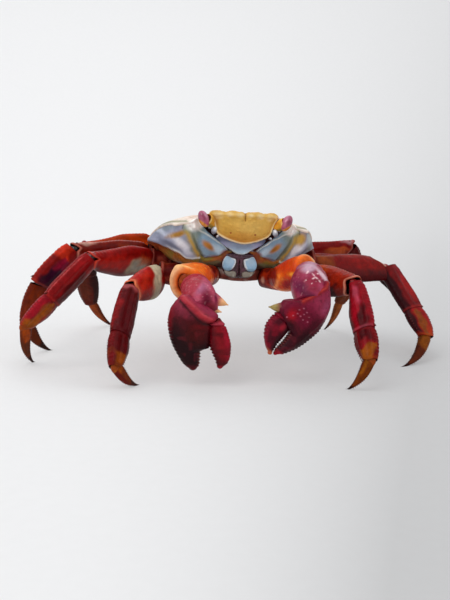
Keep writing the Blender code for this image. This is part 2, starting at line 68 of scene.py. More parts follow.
# How much stouter a leg is below the knee: above its axis, below it and across it.
LOWER_SWELL = {"right_1": (1.1, 1.1, 1.2), "right_2": (1.0, 1.45, 1.05), "right_3": (1.35, 1.1, 1.0),
               "right_4": (1.55, 1.1, 1.1), "left_1": (1.1, 1.1, 1.18), "left_2": (1.5, 1.0, 1.05),
               "left_3": (1.1, 0.62, 0.95), "left_4": (1.2, 1.2, 1.1)}
LEG_POSE = {
    "right_1": ((-33.0, -17.0, 38.0), (-118, -5), (-107, -44), (-101, -47), 41),
    "right_2": ((-36.0, -4.0, 42.0), (-135, 6), (-166, -46), (-169, -47), 78),
    "right_3": ((-36.0, 9.0, 43.5), (-154, 4), (-166, -48), (168, -72), 37),
    "right_4": ((-32.0, 22.0, 45.7), (169, -3), (75, -59), (76, -59), 28),
    "left_1": ((33.5, -17.5, 39.2), (-69, 0), (-88, -47), (-90, -45), 152),
    "left_2": ((38.0, -3.0, 43.0), (11, -6), (-54, -48), (-67, -46), -137),
    "left_3": ((36.0, 9.5, 41.5), (7, -6), (-11, -40), (-61, -47), -128),
    "left_4": ((31.0, 22.0, 44.5), (7, 3), (51, -54), (125, -61), 129),
}
# Place along a segment, height above and below its axis, half its thickness. Places before 0 only
# steer the curve, for a segment starts at its joint.
OUTLINES = {
    "merus": ((-0.05, 2.2, 2.4, 1.7), (0.02, 3.2, 4.0, 2.4), (0.16, 4.5, 7.2, 3.0),
              (0.42, 5.2, 8.5, 3.3), (0.66, 4.8, 7.4, 3.2), (0.88, 4.0, 6.0, 2.9), (1.0, 3.7, 5.2, 2.8)),
    "carpus": ((-0.15, 2.3, 2.6, 1.9), (-0.06, 3.1, 3.5, 2.3), (0.08, 4.0, 4.0, 2.6), (0.3, 4.6, 4.4, 2.7),
               (0.7, 5.0, 4.6, 2.8), (1.0, 4.6, 4.3, 2.6)),
    "propodus": ((-0.06, 3.9, 3.6, 2.2), (0.05, 4.4, 4.1, 2.45), (0.35, 4.8, 4.4, 2.5),
                 (0.7, 4.3, 3.8, 2.3), (1.0, 3.0, 2.8, 1.9)),
    "dactyl": ((-0.08, 2.1, 1.9, 1.4), (0.04, 2.6, 2.3, 1.6), (0.25, 2.45, 2.1, 1.45),
               (0.5, 1.85, 1.55, 1.15), (0.72, 1.1, 1.0, 0.8), (0.88, 0.65, 0.6, 0.55),
               (1.04, 0.32, 0.3, 0.3)),
}
# Height above the axis at the stations of the merus, where a leg's upper edge arches its own way.
MERUS_TOPS = {"right_2": (2.2, 3.4, 5.2, 6.0, 4.2, 2.4, 1.9), "right_3": (2.2, 3.2, 5.0, 5.2, 4.0, 3.2, 3.0),
              "right_4": (2.2, 4.8, 7.4, 7.0, 4.2, 2.0, 1.4), "left_2": (1.8, 2.2, 2.8, 5.0, 6.0, 5.6, 5.0),
              "left_4": (2.2, 3.2, 4.2, 4.2, 4.0, 4.4, 4.6)}
# First stations of a carpus that starts slimmer or fuller than the others.
ROOT_SHAPES = {
    "left_1": ((-0.15, 2.3, 1.2, 1.6), (-0.06, 3.1, 1.6, 1.95), (0.08, 4.0, 2.0, 2.25),
               (0.3, 4.6, 3.0, 2.55)),
    "left_2": ((-0.4, 1.4, 1.6, 2.0), (-0.32, 3.0, 3.0, 3.1), (-0.16, 3.9, 4.2, 3.5),
               (0.04, 4.1, 4.3, 3.5), (0.3, 4.6, 4.4, 2.9)),
}
# Rims of a merus that slope the other way: how far the rim stands out in the middle, and how
# much further towards the upper edge, in millimetres.
RIM_SLOPES = {"left_2": (-2.2, -4.8)}
# Where the spines along a merus with such a rim end.
SLOPED_END = 0.8
# How a single segment departs from its outline: three scales, or its first place and height.
MERUS_SWELL = {"left_2": (1.0, 1.16, 1.0)}
PROPODUS_START = {"right_3": (-0.15, 4.3)}
DACTYL_BOW = 0.08
HIP_REACH = 15.0
HIP_DROP = 1.2
HIP_SIZE = (4.6, 4.2)
# How thick a hip is at places along it, as a share of that size.
HIP_SCALES = ((0.0, 0.85), (0.2, 0.98), (0.42, 0.86), (0.62, 1.04), (0.9, 1.0), (1.03, 1.1))

# ------------------------------------------------------------------------ sizes of the claws
CLAWS = {
    "right": dict(
        hip=((-12.5, -24.0, 38.6, 4.4), (-14.5, -28.8, 38.8, 4.5), (-16.5, -33.5, 39.0, 4.2)),
        arm=((-15.9, -31.5, 39.0, 4.6), (-19.5, -37.5, 39.6, 6.0), (-22.8, -43.5, 39.2, 7.6),
             (-24.2, -47.3, 38.8, 8.3)),
        wrist=((-22.9, -46.0, 38.2, 4.2), (-22.4, -48.8, 37.4, 5.6), (-21.5, -54.0, 35.1, 6.6),
               (-20.9, -58.4, 32.2, 6.7), (-20.7, -60.8, 30.2, 6.2)),
        origin=(-24.0, -61.5, 35.0), along=(0.0, -0.06, -1.0), outward=(-1.0, 0.12, 0.0),
        palm=((-0.5, 1.5, 5.8, 2.2), (2.0, -2.9, 7.9, 3.8), (4.4, -6.6, 9.4, 4.4), (6.6, -9.0, 9.9, 4.7),
              (8.2, -8.4, 10.1, 4.9), (10.0, -7.2, 10.1, 5.0), (15.0, -6.8, 9.3, 4.8),
              (19.4, -6.2, 7.7, 4.0), (20.9, -2.6, 6.9, 3.4), (24.5, -2.4, 4.7, 2.9),
              (26.6, -2.2, 3.1, 2.3), (27.9, -1.5, 1.4, 1.7)),
        finger=((8.3, -10.6, -8.2, 1.8), (10.6, -12.3, -5.8, 3.0), (14.6, -13.8, -5.9, 3.5),
                (18.9, -14.8, -6.7, 3.3), (22.6, -14.6, -8.3, 2.8), (25.4, -13.6, -9.4, 2.3),
                (27.0, -11.9, -9.5, 1.8))),
    "left": dict(
        hip=((12.0, -24.0, 37.8, 4.4), (14.2, -28.2, 38.0, 4.5), (16.5, -32.5, 38.2, 4.2)),
        arm=((15.8, -31.0, 38.8, 4.6), (17.8, -36.5, 40.0, 6.0), (21.6, -41.5, 42.4, 7.0),
             (24.4, -45.0, 43.4, 7.4)),
        wrist=((24.4, -44.4, 43.3, 3.9), (24.6, -46.8, 42.9, 5.9), (24.3, -51.5, 40.4, 7.6),
               (23.7, -56.5, 36.8, 7.4), (22.9, -59.8, 33.2, 6.0)),
        origin=(26.0, -60.5, 35.0), along=(-0.6, -0.05, -0.8), outward=(0.8, 0.10, -0.6),
        palm=((-7.4, -2.4, -0.2, 1.6), (-5.4, -2.2, 1.6, 2.8), (-3.0, -3.1, 4.1, 3.6),
              (0.0, -4.6, 6.3, 4.2), (3.8, -5.9, 7.6, 4.7), (5.6, -7.6, 8.0, 4.8), (7.2, -9.8, 8.3, 4.7),
              (9.4, -11.6, 8.4, 4.4), (12.2, -11.6, 8.1, 4.2), (14.4, -10.0, 7.6, 4.0),
              (16.4, -5.6, 7.0, 3.7), (17.9, -0.9, 6.5, 3.3), (21.5, -0.7, 5.0, 2.8),
              (24.4, -1.0, 3.3, 2.2), (26.4, -1.2, 1.8, 1.7), (27.6, -1.1, 0.5, 1.1)),
        finger=((13.4, -9.6, -6.4, 1.6), (15.2, -10.9, -3.6, 2.8), (17.6, -11.0, -1.9, 3.1),
                (20.3, -10.9, -2.0, 3.1), (23.5, -9.4, -2.5, 2.7), (26.0, -7.4, -2.3, 2.3),
                (28.0, -5.0, -1.8, 1.7), (28.8, -3.2, -1.4, 1.2))),
}
# Spines that stand on a claw: base, tip and radius at the base.
CLAW_SPINES = {
    "right": (("wrist", (-16.6, -56.6, 34.0), (-10.9, -59.4, 32.2), 3.0),
              ("wrist", (-17.4, -58.6, 30.2), (-13.6, -60.2, 29.4), 1.6)),
    "left": (("palm", (13.6, -61.6, 31.2), (6.3, -61.8, 31.8), 3.1),),
}
# Colours of a spine from base to tip, and its slot.
SPINE_LOOKS = {"wrist": (("B45060", "EDB27C"), "wrist_shell"), "palm": (("7A2038", "9A8650"), "claw_shell")}

# ------------------------------------------------------------------------ sizes of the body
# Each station of the left half, from the front centre round to the back: a point on the upper
# margin, one on the flank's crease and one on its lower edge.
BODY_STATIONS = (
    ((0.0, -34.4, 62.6), (0.0, -28.5, 50.5), (0.0, -24.5, 40.0)),
    ((7.0, -34.2, 62.5), (3.0, -28.9, 49.0), (3.5, -24.8, 39.8)),
    ((13.4, -33.4, 62.2), (6.2, -29.5, 47.5), (7.0, -25.0, 39.5)),
    ((15.0, -31.4, 61.6), (9.0, -28.9, 46.0), (9.6, -24.2, 39.3)),
    ((17.8, -30.4, 61.0), (11.5, -28.0, 45.3), (12.0, -23.0, 39.2)),
    ((19.6, -30.6, 60.1), (15.0, -26.4, 44.3), (14.6, -21.8, 39.2)),
    ((21.6, -32.4, 58.9), (17.8, -25.0, 43.8), (17.0, -20.5, 39.2)),
    ((23.4, -28.2, 58.2), (21.0, -23.0, 43.0), (19.5, -18.5, 39.4)),
    ((26.2, -26.4, 57.6), (23.0, -21.8, 42.6), (20.8, -17.5, 39.5)),
    ((28.9, -26.2, 57.0), (25.4, -20.2, 42.6), (22.0, -16.5, 39.6)),
    ((30.0, -22.6, 57.4), (28.2, -17.6, 43.4), (24.2, -13.6, 40.1)),
    ((33.0, -15.4, 56.4), (31.8, -13.6, 45.0), (26.0, -11.0, 40.6)),
    ((36.2, -6.0, 53.2), (37.6, -4.5, 47.6), (29.0, -3.5, 41.5)),
    ((37.0, 5.0, 50.5), (38.0, 5.0, 47.0), (29.5, 5.0, 42.0)),
    ((35.2, 15.0, 51.0), (35.2, 15.0, 48.2), (27.5, 14.0, 43.0)),
    ((29.0, 25.0, 53.6), (29.0, 25.0, 50.0), (22.5, 22.5, 44.0)),
    ((20.5, 32.8, 55.0), (20.5, 32.8, 51.2), (15.5, 28.5, 45.0)),
    ((9.0, 34.8, 55.8), (9.0, 34.8, 51.8), (7.0, 30.0, 45.4)),
    ((0.0, 35.0, 55.8), (0.0, 35.0, 51.8), (0.0, 30.0, 45.4)),
)
DOME_CENTRE = (0.0, 0.0, 62.4)
DOME_POWER = 2.6
EYE_AT = (17.7, -35.6, 59.5)
EYE_RADII = (2.2, 2.3, 3.6)
EYE_LEAN = 24.0
STERNUM = ((-25.0, 6.5, 33.8), (-20.0, 13.0, 34.2), (-8.0, 18.0, 35.6), (6.0, 18.5, 37.2),
           (18.0, 14.5, 39.2), (25.5, 8.0, 40.8))
STERNUM_TOP = 42.5
STERNUM_RISE = 1.6
ABDOMEN = ((-14.0, 2.2, 34.9), (-4.0, 3.6, 36.0), (6.0, 5.0, 37.2), (16.0, 8.5, 38.9),
           (25.0, 10.0, 40.6), (29.5, 10.5, 43.4), (33.5, 10.5, 49.0))
ABDOMEN_THICKNESS = 1.5


# ------------------------------------------------------------------------ small maths
def unit(vector):
    """The vector at length 1."""
    vector = np.asarray(vector, float)
    return vector / np.linalg.norm(vector)


def heading(azimuth, elevation):
    """The way that points at an azimuth and an elevation, both in degrees."""
    a, e = math.radians(azimuth), math.radians(elevation)
    return np.array([math.cos(a) * math.cos(e), math.sin(a) * math.cos(e), math.sin(e)])


def place(points):
    """Where points stand, once the body's middle is at BODY_AT."""
    return np.asarray(points, float) + (*BODY_AT, 0.0)


def tilt(points):
    """Pitch and roll points of the level body about its hinge, then place them."""
    x, y, z = np.moveaxis(np.asarray(points, float), -1, 0)
    z = z - BODY_HINGE
    y, z = (y * math.cos(BODY_PITCH) + z * math.sin(BODY_PITCH),
            z * math.cos(BODY_PITCH) - y * math.sin(BODY_PITCH))
    x, z = (x * math.cos(BODY_ROLL) + z * math.sin(BODY_ROLL),
            z * math.cos(BODY_ROLL) - x * math.sin(BODY_ROLL))
    return place(np.stack([x, y, z + BODY_HINGE], axis=-1))


def smooth(x, knots, values, flowing=False):
    """A cubic curve through the values at the knots.

    Its slope at a knot is the weighted harmonic mean of the slopes on both sides, and zero where
    they turn, so the curve never overshoots. A flowing curve takes the slope between the
    neighbouring knots instead, which is rounder."""
    knots, values = np.asarray(knots, float), np.asarray(values, float)
    flat = values.ndim == 1
    values = values.reshape(len(knots), -1)
    run = np.diff(knots)[:, None]
    rise = np.diff(values, axis=0) / run
    before, after = rise[:-1], rise[1:]
    if flowing:
        inner = (values[2:] - values[:-2]) / (run[1:] + run[:-1])
    else:
        w1, w2 = 2 * run[1:] + run[:-1], run[1:] + 2 * run[:-1]
        turning = before * after <= 0
        safe = np.where(turning, 1.0, before), np.where(turning, 1.0, after)
        inner = np.where(turning, 0.0, (w1 + w2) / (w1 / safe[0] + w2 / safe[1]))
    slopes = np.concatenate([rise[:1], inner, rise[-1:]])
    x = np.clip(np.asarray(x, float), knots[0], knots[-1])
    i = np.clip(np.searchsorted(knots, x, side="right") - 1, 0, len(knots) - 2)
    h = run[i, 0][..., None]
    u = ((x - knots[i]) / run[i, 0])[..., None]
    result = ((1 + 2 * u) * (1 - u) ** 2 * values[i] + u * (1 - u) ** 2 * h * slopes[i]
              + u ** 2 * (3 - 2 * u) * values[i + 1] + u ** 2 * (u - 1) * h * slopes[i + 1])
    return result[..., 0] if flat else result


def closed_path(points, shares, flowing=True):
    """A closed smooth curve through the points, at shares from 0 to 1 of its length."""
    points = np.asarray(points, float)
    loop = np.concatenate([points[-3:], points, points[:4]])
    lengths = np.linalg.norm(np.diff(loop, axis=0), axis=1)
    knots = np.concatenate([[0.0], np.cumsum(lengths)])
    first, last = knots[3], knots[3 + len(points)]
    return smooth(first + np.asarray(shares) * (last - first), knots, loop, flowing)


def step(x, low, high):
    """0 below low, 1 above high and a smooth rise between. It falls when low is above high."""
    u = np.clip((np.asarray(x, float) - low) / (high - low), 0.0, 1.0)
    return u * u * (3.0 - 2.0 * u)


def hump(x, centre, width):
    """A bell of height 1 at the centre."""
    return np.exp(-(((np.asarray(x, float) - centre) / width) ** 2))


def spot(x, y, centre, radii, turn=0.0, soft=0.35):
    """1 inside an ellipse turned by so many degrees, falling to 0 across its soft border."""
    a = math.radians(turn)
    dx, dy = x - centre[0], y - centre[1]
    u = (dx * math.cos(a) + dy * math.sin(a)) / radii[0]
    v = (dy * math.cos(a) - dx * math.sin(a)) / radii[1]
    return step(np.hypot(u, v), 1.0 + soft, 1.0 - soft)


def route_distance(x, y, route):
    """Distance to a chain of straight pieces, and the share of its length at the nearest place."""
    route = np.asarray(route, float)
    nearest = np.full(np.shape(x), 1e9)
    share = np.zeros(np.shape(x))
    for i, (start, end) in enumerate(zip(route, route[1:])):
        way = end - start
        u = np.clip(((x - start[0]) * way[0] + (y - start[1]) * way[1]) / (way @ way), 0.0, 1.0)
        distance = np.hypot(x - start[0] - u * way[0], y - start[1] - u * way[1])
        closer = distance < nearest
        nearest = np.where(closer, distance, nearest)
        share = np.where(closer, (i + u) / (len(route) - 1), share)
    return nearest, share


def edge_of(x, z, outline, count=80):
    """Distance to a smooth outline, taken as so many straight pieces."""
    return route_distance(x, z, closed_path(outline, np.linspace(0.0, 1.0, count)))[0]


def line(x, y, route, width):
    """1 on a chain of straight pieces, falling off like a bell of that width."""
    return np.exp(-((route_distance(x, y, route)[0] / width) ** 2))


def mottle(points, size, seed=0):
    """Value noise from 0 to 1: a random number at each corner of a cubic lattice of that size,
    blended between the corners by a smooth step."""
    p = np.asarray(points, float) / size + 500.0
    cell = np.floor(p).astype(np.int64)
    share = p - cell
    share = share * share * (3.0 - 2.0 * share)
    total = np.zeros(p.shape[:-1])
    for corner in np.ndindex(2, 2, 2):
        x, y, z = np.moveaxis(cell + corner, -1, 0)
        mixed = (x * 73856093) ^ (y * 19349663) ^ (z * 83492791) ^ (seed * 2654435)
        mixed = (mixed ^ (mixed >> 13)) * 1274126177
        value = ((mixed ^ (mixed >> 16)) & 0xFFFF) / 65535.0
        total += value * np.prod(np.where(corner, share, 1.0 - share), axis=-1)
    return total


def linear(code):
    """An sRGB hex value as linear red, green and blue."""
    values = np.array([int(code[i:i + 2], 16) for i in (0, 2, 4)]) / 255.0
    return np.where(values <= 0.04045, values / 12.92, ((values + 0.055) / 1.055) ** 2.4)


def tint(colour):
    """A colour as linear values, from an sRGB hex value or from a colour property."""
    return linear(colour) if isinstance(colour, str) else np.array(colour)


def coat(colours, colour, mask):
    """Lay another colour over an array of colours where the mask is high, and return the array."""
    mask = np.clip(mask, 0.0, 1.0)[..., None]
    colours[...] = colours * (1.0 - mask) + tint(colour) * mask
    return colours


def deepen(colours, power=1.25):
    """Painted colours made deeper and purer, as a wet glaze makes them."""
    return colours ** power


def ground(shape, colour):
    """An array of one colour, ready to be painted on."""
    return np.broadcast_to(tint(colour), (*shape, 3)).copy()


# ------------------------------------------------------------------------ mesh making
def turns(count):
    """Angles of so many equal steps round a full turn."""
    return np.arange(count) * 2.0 * np.pi / count


def swell(grid, height):
    """Move each point of a grid that is closed round its columns along the surface normal."""
    along = np.gradient(grid, axis=0)
    around = np.roll(grid, -1, axis=1) - np.roll(grid, 1, axis=1)
    normal = np.cross(around, along)
    normal /= np.linalg.norm(normal, axis=-1, keepdims=True) + 1e-9
    outwards = np.sum((grid - grid.mean(axis=1, keepdims=True)) * normal)
    return grid + normal * (np.asarray(height) * np.sign(outwards))[..., None]


def build_mesh(name, points, faces, colours, material):
    """An object from points in millimetres, with a colour for each point in an attribute."""
    mesh = bpy.data.meshes.new(name)
    mesh.from_pydata((points * MM).tolist(), [], faces)
    paint = mesh.color_attributes.new(PAINT, "FLOAT_COLOR", "POINT")
    rgba = np.concatenate([colours, np.ones((len(colours), 1))], axis=1)
    paint.data.foreach_set("color", rgba.astype(np.float32).ravel())
    mesh.materials.append(material)
    mesh.shade_smooth()
    mesh.update()
    item = bpy.data.objects.new(name, mesh)
    bpy.context.scene.collection.objects.link(item)
    return item


def surface(name, grid, colours, material):
    """A closed skin from a grid of points: rows along it, columns round it, a point at each end.

    The faces are turned over if the volume they enclose comes out negative."""
    rows, columns = grid.shape[:2]
    index = np.arange(rows * columns).reshape(rows, columns)
    ahead = np.roll(index, -1, axis=1)
    quads = np.stack([index[:-1], ahead[:-1], ahead[1:], index[1:]], axis=-1).reshape(-1, 4)
    first, last = rows * columns, rows * columns + 1
    fan_a = np.stack([np.full(columns, first), ahead[0], index[0]], axis=-1)
    fan_b = np.stack([np.full(columns, last), index[-1], ahead[-1]], axis=-1)
    fans = np.concatenate([fan_a, fan_b])
    points = np.concatenate([grid.reshape(-1, 3), [grid[0].mean(0)], [grid[-1].mean(0)]])
    shades = np.concatenate([colours.reshape(-1, 3), [colours[0].mean(0)], [colours[-1].mean(0)]])
    corners = np.concatenate([quads[:, :3], quads[:, [0, 2, 3]], fans])
    a, b, c = (points[corners[:, i]] - points.mean(0) for i in range(3))
    if np.sum(a * np.cross(b, c)) < 0:
        quads, fans = quads[:, ::-1], fans[:, ::-1]
    return build_mesh(name, points, quads.tolist() + fans.tolist(), shades, material)


def spines(name, bases, tips, radii, codes, material, sides=6, belly=0.7):
    """Many small closed spikes in one mesh, each a ring at its base, a ring half way and a tip."""
    bases, tips = np.asarray(bases, float), np.asarray(tips, float)
    radii = np.asarray(radii, float)[:, None, None]
    axis = tips - bases
    axis /= np.linalg.norm(axis, axis=1, keepdims=True)
    helper = np.where(np.abs(axis[:, 2:]) > 0.9, (1.0, 0.0, 0.0), (0.0, 0.0, 1.0))
    side = np.cross(axis, helper)
    side /= np.linalg.norm(side, axis=1, keepdims=True)
    up = np.cross(axis, side)
    angle = turns(sides)
    circle = (side[:, None] * np.cos(angle)[:, None] + up[:, None] * np.sin(angle)[:, None]) * radii
    middle = bases + (tips - bases) * 0.5
    rings = np.stack([bases[:, None] + circle, middle[:, None] + circle * belly], axis=1)
    count, per = len(bases), 2 * sides + 2
    points = np.concatenate([rings.reshape(count, -1, 3), bases[:, None], tips[:, None]], axis=1)
    i, j = np.arange(sides), (np.arange(sides) + 1) % sides
    low, high = np.full(sides, 2 * sides), np.full(sides, 2 * sides + 1)
    faces = np.concatenate([np.stack([j, i, low], 1), np.stack([i, j, j + sides], 1),
                            np.stack([i, j + sides, i + sides], 1),
                            np.stack([i + sides, j + sides, high], 1)])
    faces = (faces[None] + per * np.arange(count)[:, None, None]).reshape(-1, 3)
    foot, point = (linear(code) for code in codes)
    shades = np.tile(np.concatenate([np.tile(foot, (sides, 1)), np.tile((foot + point) / 2, (sides, 1)),
                                     [foot], [point]]), (count, 1))
    return build_mesh(name, points.reshape(-1, 3), faces.tolist(), shades, material)


def keep(item, slot, *nodes):
    """Hang a piece on the body's root empty, and hide the imported parts that it stands for."""
    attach(item, "root")
    if nodes:
        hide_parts(*nodes)
    return item


# ------------------------------------------------------------------------ materials
def add(tree, kind, settings=None, links=None):
    """Add a node. A setting is a property or an input, and a link is an input and what feeds it.

    What feeds it is an output, or a node whose first output is meant."""
    node = tree.nodes.new(kind)
    for key, value in (settings or {}).items():
        if isinstance(key, str) and hasattr(node, key):
            setattr(node, key, value)
        else:
            node.inputs[key].default_value = value
    for key, source in (links or {}).items():
        output = source.outputs[0] if isinstance(source, bpy.types.Node) else source
        tree.links.new(output, node.inputs[key])
    return node


# What each finish is and what it gives the eye. Sizes are in millimetres.
FINISHES = {
    # Chitin hardened with lime, grown smooth: broad soft highlights, fine pores, faint clouding.
    "carapace": dict(name="Calcified carapace cuticle", roughness=(0.34, 0.52), coat=0.04, shine=0.14,
                     gloss=0.28, cloud=2.6, depth=0.13, grain=0.55, height=0.035, fleck=0.0),
    # The same shell in claws: smoother between granules, so its highlights are tight and wet.
    "claw": dict(name="Granular claw cuticle", roughness=(0.26, 0.42), coat=0.06, shine=0.08, gloss=0.16,
                 cloud=2.2, depth=0.2, grain=0.8, height=0.05, fleck=0.25),
    # Leg shell with short transverse wrinkles: satin with a sharper sheen along the edges.
    "leg": dict(name="Wrinkled leg cuticle", roughness=(0.3, 0.5), coat=0.04, shine=0.07, gloss=0.2,
                cloud=1.8, depth=0.2, grain=0.5, height=0.05, fleck=0.25),
    # Horn-like tips, worn by rock: duller, streaked and rough to the light.
    "tip": dict(name="Worn horny leg tip", roughness=(0.4, 0.62), coat=0.01, shine=0.06, gloss=0.35,
                cloud=1.1, depth=0.26, grain=0.35, height=0.06, fleck=0.0),
    # Soft skin between the shells, always wet: near black with small bright glints.
    "skin": dict(name="Wet joint membrane", roughness=(0.16, 0.3), coat=0.3, shine=0.3, gloss=0.08,
                 cloud=0.9, depth=0.3, grain=0.6, height=0.12, fleck=0.0),
    # Clear cornea over the facets: glassy, with the colour deep below it.
    "cornea": dict(name="Faceted cornea", roughness=(0.1, 0.16), coat=0.5, shine=0.4, gloss=0.05,
                   cloud=1.4, depth=0.22, grain=0.3, height=0.012, fleck=0.0),
    # Stiff bristles of bare chitin: dry and dark.
    "bristle": dict(name="Stiff chitin bristle", roughness=(0.4, 0.5), coat=0.0, shine=0.1, gloss=0.3,
                    cloud=0.8, depth=0.2, grain=0.4, height=0.01, fleck=0.0),
}


def cuticle(kind):
    """Painted colour, clouded and flecked by noise, with a fine grain and an uneven gloss."""
    look = FINISHES[kind]
    found = bpy.data.materials.get(look["name"])
    if found:
        return found
    material = bpy.data.materials.new(look["name"])
    material.use_nodes = True
    tree = material.node_tree
    shader = tree.nodes["Principled BSDF"]
    spot_on = add(tree, "ShaderNodeTexCoord").outputs["Object"]
    paint = add(tree, "ShaderNodeAttribute", {"attribute_name": PAINT})
    cloud = add(tree, "ShaderNodeTexNoise", {"Scale": 1.0 / (look["cloud"] * MM), "Detail": 4.0,
                                             "Roughness": 0.6}, {"Vector": spot_on})
    share = add(tree, "ShaderNodeMapRange", {"From Min": 0.3, "From Max": 0.7, "To Min": 1.0 - look["depth"],
                                             "To Max": 1.0 + look["depth"]}, {"Value": cloud})
    clouded = add(tree, "ShaderNodeVectorMath", {"operation": "SCALE"},
                  {0: paint.outputs["Color"], "Scale": share})
    grain = add(tree, "ShaderNodeTexVoronoi", {"Scale": 1.0 / (look["grain"] * MM), "feature": "F1"},
                {"Vector": spot_on})
    colour = clouded.outputs["Vector"]
    if look["fleck"]:
        dots = add(tree, "ShaderNodeMapRange", {"From Min": 0.32, "From Max": 0.12, "To Max": look["fleck"]},
                   {"Value": grain})
        patch = add(tree, "ShaderNodeMapRange", {"From Min": 0.52, "From Max": 0.68},
                    {"Value": cloud})
        amount = add(tree, "ShaderNodeMath", {"operation": "MULTIPLY"},
                     {0: dots, 1: patch})
        lighter = add(tree, "ShaderNodeVectorMath", {"operation": "MULTIPLY_ADD", 1: (1.5, 1.5, 1.5),
                                                     2: (0.04, 0.02, 0.02)}, {0: colour})
        mixed = add(tree, "ShaderNodeMix", {"data_type": "RGBA"},
                    {0: amount, 6: colour, 7: lighter})
        colour = mixed.outputs[2]
    tree.links.new(colour, shader.inputs["Base Color"])
    smoothest, roughest = look["roughness"]
    gloss = add(tree, "ShaderNodeMapRange", {"From Min": 0.3, "From Max": 0.7, "To Min": smoothest,
                                             "To Max": roughest}, {"Value": cloud})
    tree.links.new(gloss.outputs["Result"], shader.inputs["Roughness"])
    pores = add(tree, "ShaderNodeTexNoise", {"Scale": 3.0 / (look["grain"] * MM), "Detail": 2.0},
                {"Vector": spot_on})
    relief = add(tree, "ShaderNodeMath", {"operation": "MULTIPLY_ADD", 1: -0.6},
                 {0: grain, 2: pores})
    bump = add(tree, "ShaderNodeBump", {"Strength": 0.6, "Distance": look["height"] * MM},
               {"Height": relief})
    tree.links.new(bump.outputs["Normal"], shader.inputs["Normal"])
    shader.inputs["Coat Weight"].default_value = look["coat"]
    shader.inputs["Coat Roughness"].default_value = look["gloss"]
    shader.inputs["IOR"].default_value = 1.52
    shader.inputs["Specular IOR Level"].default_value = look["shine"]
    return material


def put(name, grid, paint, finish, slot, *nodes):
    """Make a skin from a grid, in one of the finishes, and hang it on the body's root empty."""
    return keep(surface(name, grid, paint, cuticle(finish)), slot, *nodes)


def floor_paper():
    """Matt studio paper, pale grey with a tooth too fine to see. Part of its brightness is a painted glow
    that lightens the shadows cast on it.

    The sheet is painted greyer on one side, as painted shade: it fans out from a point on the floor, by
    how far a place lies aside for each metre it lies beyond that point, and fades away behind the point.
    The paper is also painted a little darker towards the front."""
    settings = bpy.context.scene.crab_stage
    material = bpy.data.materials.new("Matt studio paper")
    material.use_nodes = True
    tree = material.node_tree
    shader = tree.nodes["Principled BSDF"]
    spot_on = add(tree, "ShaderNodeTexCoord").outputs["Object"]
    tooth = add(tree, "ShaderNodeTexNoise", {"Scale": 1.0 / (4.0 * MM), "Detail": 3.0}, {"Vector": spot_on})
    tone = add(tree, "ShaderNodeMapRange", {"To Min": 0.985, "To Max": 1.015}, {"Value": tooth})
    across, beyond, _ = add(tree, "ShaderNodeSeparateXYZ", {}, {0: spot_on}).outputs
    reach = add(tree, "ShaderNodeMath", {"operation": "ADD", 1: -settings.painted_shade_from[1]}, {0: beyond})
    reach = add(tree, "ShaderNodeMath", {"operation": "MAXIMUM", 1: 0.12}, {0: reach})
    aside = add(tree, "ShaderNodeMath", {"operation": "ADD", 1: -settings.painted_shade_from[0]}, {0: across})
    slope = add(tree, "ShaderNodeMath", {"operation": "DIVIDE"}, {0: aside, 1: reach})
    share = add(tree, "ShaderNodeMapRange", {"From Min": -0.05, "From Max": 0.42}, {"Value": slope})
    share = add(tree, "ShaderNodeMath", {"operation": "POWER", 1: 2.0}, {0: share})
    loss = add(tree, "ShaderNodeMapRange", {"From Min": 1.2, "From Max": -0.25, "To Min": 0.12,
                                            "To Max": 0.34}, {"Value": beyond})
    far = add(tree, "ShaderNodeMapRange", {"From Min": 1.2, "From Max": -0.25, "To Min": 1.04,
                                           "To Max": 0.95}, {"Value": beyond})
    # Painted shade: the paper greyer to one side and towards the front.
    painted_shade = add(tree, "ShaderNodeMath", {"operation": "MULTIPLY"}, {0: share, 1: loss})
    seen = add(tree, "ShaderNodeMapRange", {"From Min": settings.painted_shade_from[1] - 0.15,
                                            "From Max": settings.painted_shade_from[1] + 0.2,
                                            "To Min": 0.25, "To Max": 1.0,
                                            "interpolation_type": "SMOOTHSTEP"}, {"Value": beyond})
    painted_shade = add(tree, "ShaderNodeMath", {"operation": "MULTIPLY"}, {0: painted_shade, 1: seen})
    left = add(tree, "ShaderNodeMath", {"operation": "SUBTRACT", 0: 1.0}, {1: painted_shade})
    tone = add(tree, "ShaderNodeMath", {"operation": "MULTIPLY"}, {0: tone, 1: left})
    tone = add(tree, "ShaderNodeMath", {"operation": "MULTIPLY"}, {0: tone, 1: far})
    shade = add(tree, "ShaderNodeVectorMath", {"operation": "SCALE", 0: tuple(settings.paper)},
                {"Scale": tone})
    # A painted glow: part of the paper's brightness is emission, which lightens the shadows on it.
    plain = add(tree, "ShaderNodeVectorMath", {"operation": "SCALE", "Scale": 1.0 - settings.painted_glow},
                {0: shade})
    tree.links.new(plain.outputs["Vector"], shader.inputs["Base Color"])
    tree.links.new(shade.outputs["Vector"], shader.inputs["Emission Color"])
    shader.inputs["Emission Strength"].default_value = settings.painted_glow
    shader.inputs["Roughness"].default_value = 0.9
    shader.inputs["Specular IOR Level"].default_value = 0.15
    return material


def chosen(name):
    """A height from the panel, in millimetres."""
    return getattr(bpy.context.scene.crab_sizes, name) / MM


# ------------------------------------------------------------------------ carapace
def body_loops(columns):
    """Margin, crease and lower edge of the body as closed loops, with finer steps in front."""
    left = np.array(BODY_STATIONS)
    stations = np.concatenate([left, left[-2:0:-1] * (-1.0, 1.0, 1.0)])
    u = np.arange(columns) / columns
    shares = u - 0.5 * np.sin(2.0 * np.pi * u) / (2.0 * np.pi)
    return closed_path(stations.reshape(len(stations), 9), shares, flowing=False).reshape(-1, 3, 3)


